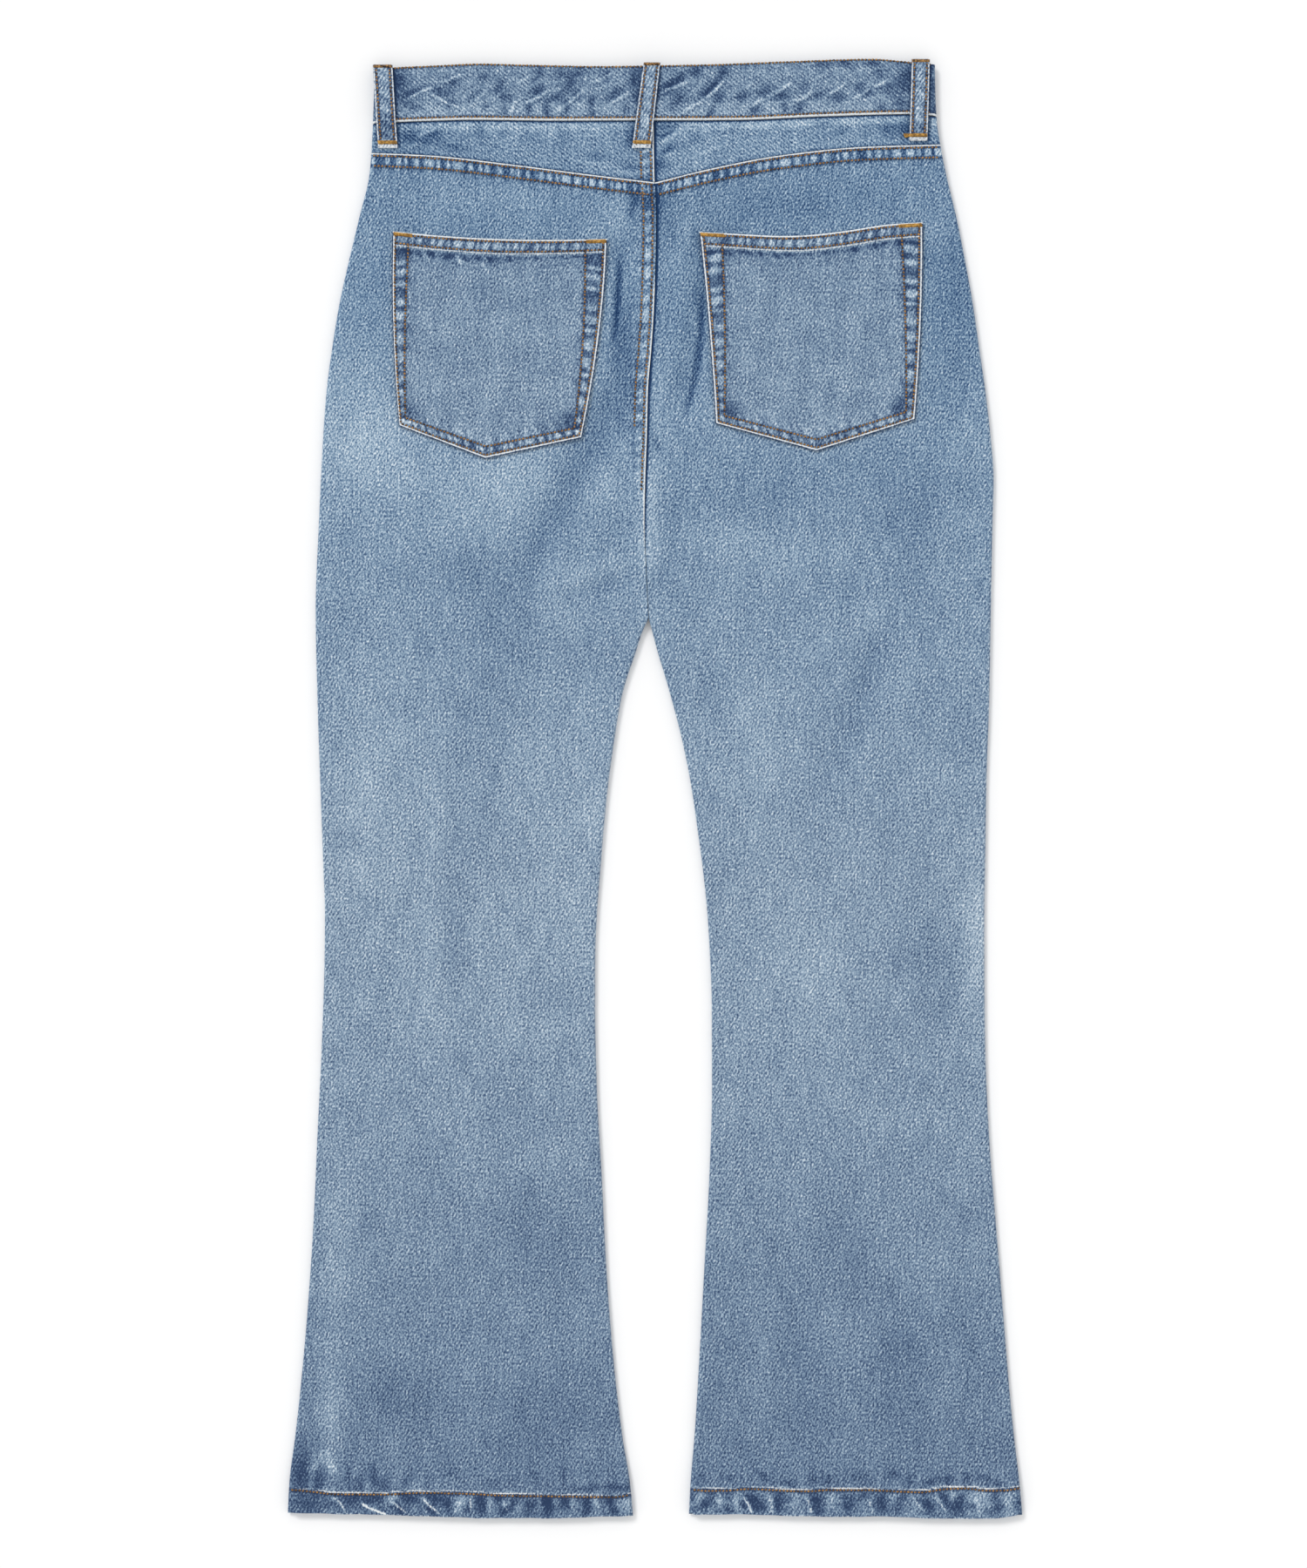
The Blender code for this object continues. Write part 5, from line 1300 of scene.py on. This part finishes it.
def makeFrontLoop(name, node, middleX):
    top, low = frontLoop["top"], frontLoop["low"]
    ys = spaced((top, low, 2.4))
    x = np.broadcast_to(middleX + loopOffsets, (len(ys), len(loopOffsets)))
    y = np.repeat(ys[:, None], len(loopOffsets), axis=1)
    z = 0.05 + 0.25 * rise(5.6, loopHalf, np.abs(x - middleX))
    beside = loopHalf - np.abs(x - middleX)
    white = np.maximum(1 - rise(0.7, 1.4, beside), 1 - rise(1.2, 2.2, np.minimum(y - low, top - y)))
    wearAndShade = 0.1 - 0.3 * between(1.2, 3.2, beside, 0.5)
    return clothPiece(name, node, [(x, y, z, wearAndShade, white, frontLoop["wall"])], legDenim, facesDown=True)


frontLoops = [makeFrontLoop("beltLoopFrontLeft", "belt_loop_front_left", -116.0),
              makeFrontLoop("beltLoopFrontRight", "belt_loop_front_right", 116.0)]
print("Front made")


# Topstitching: one stitch is modelled, and its copies are laid along each row
stitchLook = dict(
    length=1.95, gap=0.5, width=1.4, height=1.1,
    raised=0.12,                    # over the cloth
    sunk=0.35, fuller=1.18,         # how far its ends are pulled in, and how full it is along its middle
    lean=14, leanJitter=3,          # degrees, off the row
    jitter=0.04,                    # of the size
)


def makeStitch():
    bpy.ops.object.select_all(action="DESELECT")
    bpy.ops.mesh.primitive_uv_sphere_add(segments=6, ring_count=5, radius=0.5, location=(0, 0, 0),
                                         rotation=(0, math.radians(90), 0))
    stitch = bpy.context.object
    bpy.ops.object.transform_apply(location=True, rotation=True, scale=True)
    stitch.scale = (stitchLook["length"], stitchLook["width"], stitchLook["height"])
    bpy.ops.object.transform_apply(location=True, rotation=True, scale=True)
    for vertex in stitch.data.vertices:
        share = abs(vertex.co.x) / (stitchLook["length"] / 2)
        vertex.co.z -= stitchLook["sunk"] * share ** 3
        if 0.5 < share < 0.99:
            vertex.co.y *= stitchLook["fuller"]
    points = np.array([vertex.co for vertex in stitch.data.vertices])
    faces = [tuple(face.vertices) for face in stitch.data.polygons]
    bpy.data.objects.remove(stitch)
    return points, faces


stitchPoints, stitchFaces = makeStitch()


def resample(path, pitch):          # points and directions at even steps along a path
    path = np.asarray(path, dtype=float)
    steps = np.linalg.norm(np.diff(path, axis=0), axis=1)
    run = np.concatenate(([0], np.cumsum(steps)))
    count = max(1, int(round(run[-1] / pitch)))
    at = (np.arange(count) + 0.5) * run[-1] / count
    points = np.stack([np.interp(at, run, path[:, k]) for k in range(3)], axis=1)
    ahead = np.stack([np.interp(at + 1.0, run, path[:, k]) for k in range(3)], axis=1)
    back = np.stack([np.interp(at - 1.0, run, path[:, k]) for k in range(3)], axis=1)
    directions = ahead - back
    return points, directions / np.linalg.norm(directions, axis=1)[:, None]


def layStitches(places):            # joins copies of the stitch; a place is point, direction, up sign, size
    points = []
    faces = []
    for point, direction, up, size in places:
        lean = math.radians(rng.normal(stitchLook["lean"], stitchLook["leanJitter"])) * up
        along = np.array((direction[0] * math.cos(lean) - direction[1] * math.sin(lean),
                          direction[0] * math.sin(lean) + direction[1] * math.cos(lean), direction[2]))
        side = np.cross((0, 0, up), along)
        side /= np.linalg.norm(side)
        over = np.cross(along, side)
        scaled = stitchPoints * np.asarray(size) * (1 + rng.normal(0, stitchLook["jitter"]))
        first = len(points) * len(stitchPoints)
        points.append(point + scaled[:, :1] * along + scaled[:, 1:2] * side + scaled[:, 2:] * over)
        faces += [tuple(k + first for k in face) for face in stitchFaces]
    return np.vstack(points), faces


def threadPiece(name, rows, material, up=1, pitch=None, size=(1, 1, 1), turned=False):
    places = []
    for path in rows:
        points, directions = resample(path, pitch or stitchLook["length"] + stitchLook["gap"])
        for point, direction in zip(points, directions):
            if turned:
                direction = np.array((-direction[1], direction[0], 0.0))
            places.append((point + np.array((0, 0, stitchLook["raised"] * up)), direction, up, size))
    points, faces = layStitches(places)
    mesh = bpy.data.meshes.new(name)
    mesh.from_pydata(np.stack(toRow(*points.T), axis=1).tolist(), [], faces)
    mesh.shade_smooth()
    mesh.materials.append(material)
    piece = intoScene(name, mesh)
    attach(piece, "root")
    return piece


def along(start, end, spacing=2.0):
    return np.linspace(start, end, max(2, int(abs(end - start) / spacing)))


def backRow(surface, xs, ys):
    return np.stack((xs, ys, surface(xs, ys)), axis=1)


surfaceLeft = backSurface(yokeSeamLeft, innerLeft, True)
surfaceRight = backSurface(yokeSeamRight, innerRight, False)
yokeFaceLeft = yokeSurface(innerLeft, True)
rowNear, rowFar = backPanels["yokeRows"]
seatNear, seatFar = backPanels["seatRows"]


def yokeRow(surface, table, start, end, drop):
    xs = along(start, end)
    return backRow(surface, xs, smooth(table, xs) - drop)


def seatRow(surface, start, end, inwards):
    ys = along(start, end)
    return backRow(surface, innerLeft(ys) - inwards, ys)


backLeftThread = threadPiece("stitchingBackLeft", [
    yokeRow(surfaceLeft, yokeSeamLeft, -194.5, -1.5, rowNear),
    yokeRow(surfaceLeft, yokeSeamLeft, -194, -1.5, rowFar),
    seatRow(surfaceLeft, 416, 206, seatNear),
    seatRow(surfaceLeft, 415, 250, seatFar),
], goldThread)
backRightThread = threadPiece("stitchingBackRight", [
    yokeRow(surfaceRight, yokeSeamRight, 1.5, 194.5, rowNear),
    yokeRow(surfaceRight, yokeSeamRight, 2.5, 195, rowFar),
], goldThread)
yokeThread = threadPiece("stitchingYoke", [
    seatRow(yokeFaceLeft, 440, 419.5, yokes["seatRows"][0]),
    seatRow(yokeFaceLeft, 440, 420.5, yokes["seatRows"][1]),
], goldThread)


def hemRow(surface, start, end):
    xs = along(start, end)
    return backRow(surface, xs, hemStitchY(xs))


hemThreadLeft = threadPiece("stitchingHemLeft", [hemRow(surfaceLeft, -251.0, -18.5)], goldThread)
hemThreadRight = threadPiece("stitchingHemRight", [hemRow(surfaceRight, 26.0, 251.0)], goldThread)


def bandRow(start, end, share):
    xs = along(start, end)
    ys = bandY(share, xs, 0)
    return backRow(bandSurface, xs, ys)


bandThread = threadPiece("stitchingWaistband", [
    bandRow(-189, 189, bandRows[0]), bandRow(-190, 190, bandRows[1]),
], goldThread)


def pocketRow(shape, across, down):
    return np.stack(pocketSurface(shape, across, down), axis=1)


def pocketRows(shape):
    far = pocketSize
    lowRow = pocketLook["bottomRow"]
    rows = []
    for outer in (True, False):
        end = far - (2.4 if outer else lowRow)
        down = along(2.2 if outer else pocketLook["topRows"][1], end)
        for isLeft in (True, False):
            nearSide = np.full_like(down, 0.0 if isLeft else far)
            at, inner = rowsIn(shape, nearSide, down)[1:]
            inwards = at if outer else inner
            rows.append(pocketRow(shape, inwards if isLeft else far - inwards, down))
            corner = float(inwards[-1])
            xs = along(corner, far / 2) if isLeft else along(far / 2, far - corner)
            rows.append(pocketRow(shape, xs, np.full_like(xs, end)))
    for down in pocketLook["topRows"]:
        xs = along(2.0, far - 2.0)
        rows.append(pocketRow(shape, xs, np.full_like(xs, down)))
    return rows


tackLook = dict(width=3.1, topWidth=2.4, pitch=0.62, thin=0.75, high=1.5, reach=6.4)


def tack(path, name, width=tackLook["width"], material=orangeThread):       # short threads, close together
    size = (width / stitchLook["length"], tackLook["thin"], tackLook["high"])
    return threadPiece(name, [path], material, pitch=tackLook["pitch"], size=size, turned=True)


for key, label in (("pocket_left", "Left"), ("pocket_right", "Right")):
    shape = pockets[key]
    high = pocketLook["topRows"][0]
    leftTack, rightTack = (along(0.8, reach) for reach in shape["tacks"])
    threadPiece("stitchingPocket" + label, pocketRows(shape), goldThread)
    tack(pocketRow(shape, leftTack, np.full_like(leftTack, high)), "barTackPocket" + label + "A")
    tack(pocketRow(shape, pocketSize - rightTack, np.full_like(rightTack, high)),
             "barTackPocket" + label + "B")

for key, label, lowTack in (("belt_loop_left", "Left", -6.4), ("belt_loop_centre", "Centre", -6.4),
                            ("belt_loop_right", "Right", -10.4)):
    loop = loops[key]
    rows = []
    for sign in (-1, 1):
        ys = along(loopTop(loop) - 1.0, loop[2] + 5.4)
        offset = np.full_like(ys, sign * (loopHalf - loopLook["stitchIn"]))
        x, z = loopSurface(loop, offset, ys)
        rows.append(np.stack((x, ys, z), axis=1))
    tacks = []
    for ys, start in ((loop[2] + 3.8, lowTack), (loopTop(loop) + 0.4, -tackLook["reach"])):
        offset = along(start, tackLook["reach"], 1.0)
        held = np.clip(offset, -loopHalf, loopHalf)
        x, z = loopSurface(loop, held, np.full_like(offset, ys))
        z = z - sewn["loopCloth"] * rise(6.4, 8.4, np.abs(offset))      # past the loop it lies on the yoke
        tacks.append(np.stack((x + offset - held, np.full_like(x, ys), z), axis=1))
    threadPiece("stitchingLoop" + label, rows, goldThread)
    tack(tacks[0], "barTackLoop" + label + "Low")
    tack(tacks[1], "barTackLoop" + label + "Top", width=tackLook["topWidth"], material=goldThread)
print("Back stitching made")


# Stitching of the hidden front, facing the floor
def frontRow(xs, ys):
    return np.stack((xs, ys, frontFace(xs, ys)), axis=1)


def frontBandRow(start, end, share):
    xs = along(start, end)
    return np.stack((xs, bandY(share, xs, 1), waistband["frontZ"] + buttonLift(xs)), axis=1)


flyStitch = dict(top=440, bend=280, reach=34.0, drop=66)


def flyRow(inwards):                # down beside the fly, then curving in to the seam
    ys = along(flyStitch["top"], flyStitch["bend"])
    turn = np.radians(np.linspace(0, 90, 16))
    reach = flyStitch["reach"] - inwards
    xs = np.concatenate((np.full_like(ys, reach - 1), reach * np.cos(turn) - 1))
    low = flyStitch["bend"] - (flyStitch["drop"] - inwards) * np.sin(turn)
    return frontRow(xs, np.concatenate((ys, low)))


def frontHem(start, end):
    xs = along(start, end)
    return frontRow(xs, smooth(hemLine, xs) + sewn["hemDepth"])


frontRows = (
    ("stitchingFrontLeft", [frontHem(-250.0, -19.5)]),
    ("stitchingFrontRight", [frontHem(27.0, 250.0), flyRow(0.0), flyRow(6.0)]),
    ("stitchingBandFront", [frontBandRow(start, end, share) for start, end in ((-188, -2), (2, 188))
                            for share in (bandRows[0], 0.965)]),
)
frontThreads = {name: threadPiece(name, rows, goldThread, up=-1) for name, rows in frontRows}
print("Front stitching made")


# The waist button, turned from a disc: rim, dished face and a plain centre boss
button = dict(
    x=-1.0, y=463.0, z=0.9, radius=8.5, thickness=1.6, sides=64,
    shank=1.45, shankIn=4.3,        # how far it rises into the waistband, and how far in it stands
    rounding=0.16,
)
buttonFace = ((1.1, 0.45), (2.6, -0.3), (0.5, 0.15))        # steps inwards, and up (+) or down (-)


def makeButton():
    bpy.ops.object.select_all(action="DESELECT")
    place = [float(value) for value in toRow(button["x"], button["y"], button["z"])]
    bpy.ops.mesh.primitive_cylinder_add(vertices=button["sides"], radius=button["radius"] * mm,
                                        depth=button["thickness"] * mm, location=place)
    piece = bpy.context.object
    piece.name = "waistButtonMetal"
    bpy.ops.object.transform_apply(location=True, rotation=True, scale=True)
    bpy.ops.object.mode_set(mode="EDIT")
    bpy.ops.mesh.select_mode(type="FACE")

    def pick(choose):               # selects the lowest or the highest of the round faces
        bpy.ops.mesh.select_all(action="DESELECT")
        bpy.ops.object.mode_set(mode="OBJECT")
        caps = [face for face in piece.data.polygons if len(face.vertices) == button["sides"]]
        choose(caps, key=lambda face: face.center.z).select = True
        bpy.ops.object.mode_set(mode="EDIT")

    def step(inwards, rises):
        bpy.ops.mesh.inset(thickness=inwards * mm)
        bpy.ops.mesh.extrude_region_move(TRANSFORM_OT_translate={"value": (0, 0, rises * mm)})

    pick(min)                       # the face that shows looks down
    for inwards, rises in buttonFace:
        step(inwards, rises)
    pick(max)
    step(button["shankIn"], button["shank"])
    bpy.ops.object.mode_set(mode="OBJECT")
    onlySelect(piece)
    rounding = piece.modifiers.new("Rounding", "BEVEL")
    rounding.width = button["rounding"] * mm
    rounding.segments = 2
    rounding.limit_method = "ANGLE"
    rounding.angle_limit = math.radians(40)
    bpy.ops.object.modifier_apply(modifier="Rounding")
    bpy.ops.object.shade_smooth_by_angle(angle=math.radians(40))
    piece.data.materials.append(buttonMetal)
    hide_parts("waist_button")
    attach(piece, "root")


makeButton()
print("Button made")


# Floor, light and camera
studio = dict(
    floor="#fbfbfb", fill=0.81,         # white paper, and the strength of the white sky
    keyStrength=1.15, keySoftness=18, keyHeight=44, keyFrom=128,        # softness and angles in degrees
    lens=100.0, sensor=36.0, lookAt=(-1.2, 4.2),
    viewHeight=1.08,                    # metres that the picture spans
)


def makeFloor():
    bpy.ops.object.select_all(action="DESELECT")
    bpy.ops.mesh.primitive_plane_add(size=8.0, location=(0, 0, -0.0002))
    floor = bpy.context.object
    floor.name = "studioFloor"
    made, tree, surface = startMaterial("mattPaper")
    surface.inputs["Base Color"].default_value = linear(studio["floor"])
    surface.inputs["Roughness"].default_value = 0.95
    surface.inputs["Specular IOR Level"].default_value = 0.1
    floor.data.materials.append(made)


def makeLight():
    key = bpy.data.lights.new("keyLight", "SUN")
    key.energy = studio["keyStrength"]
    key.angle = math.radians(studio["keySoftness"])
    lamp = intoScene("keyLight", key)
    lamp.rotation_euler = (0, math.radians(90 - studio["keyHeight"]), math.radians(studio["keyFrom"]))
    world = bpy.data.worlds.new("studioWorld")
    bpy.context.scene.world = world
    world.use_nodes = True
    world.node_tree.nodes["Background"].inputs["Color"].default_value = (1.0, 1.0, 1.0, 1.0)
    world.node_tree.nodes["Background"].inputs["Strength"].default_value = studio["fill"]


def makeCamera():
    data = bpy.data.cameras.new("overhead")
    data.lens = studio["lens"]
    data.sensor_width = studio["sensor"]
    camera = intoScene("overhead", data)
    x, y, z = toRow(studio["lookAt"][0], studio["lookAt"][1], 5.0)
    distance = studio["viewHeight"] * studio["lens"] / studio["sensor"]
    camera.location = (float(x), float(y), float(z) + distance)
    bpy.context.scene.camera = camera


makeFloor()
makeLight()
makeCamera()
bpy.context.scene.view_settings.view_transform = "Standard"
print("Stage made")
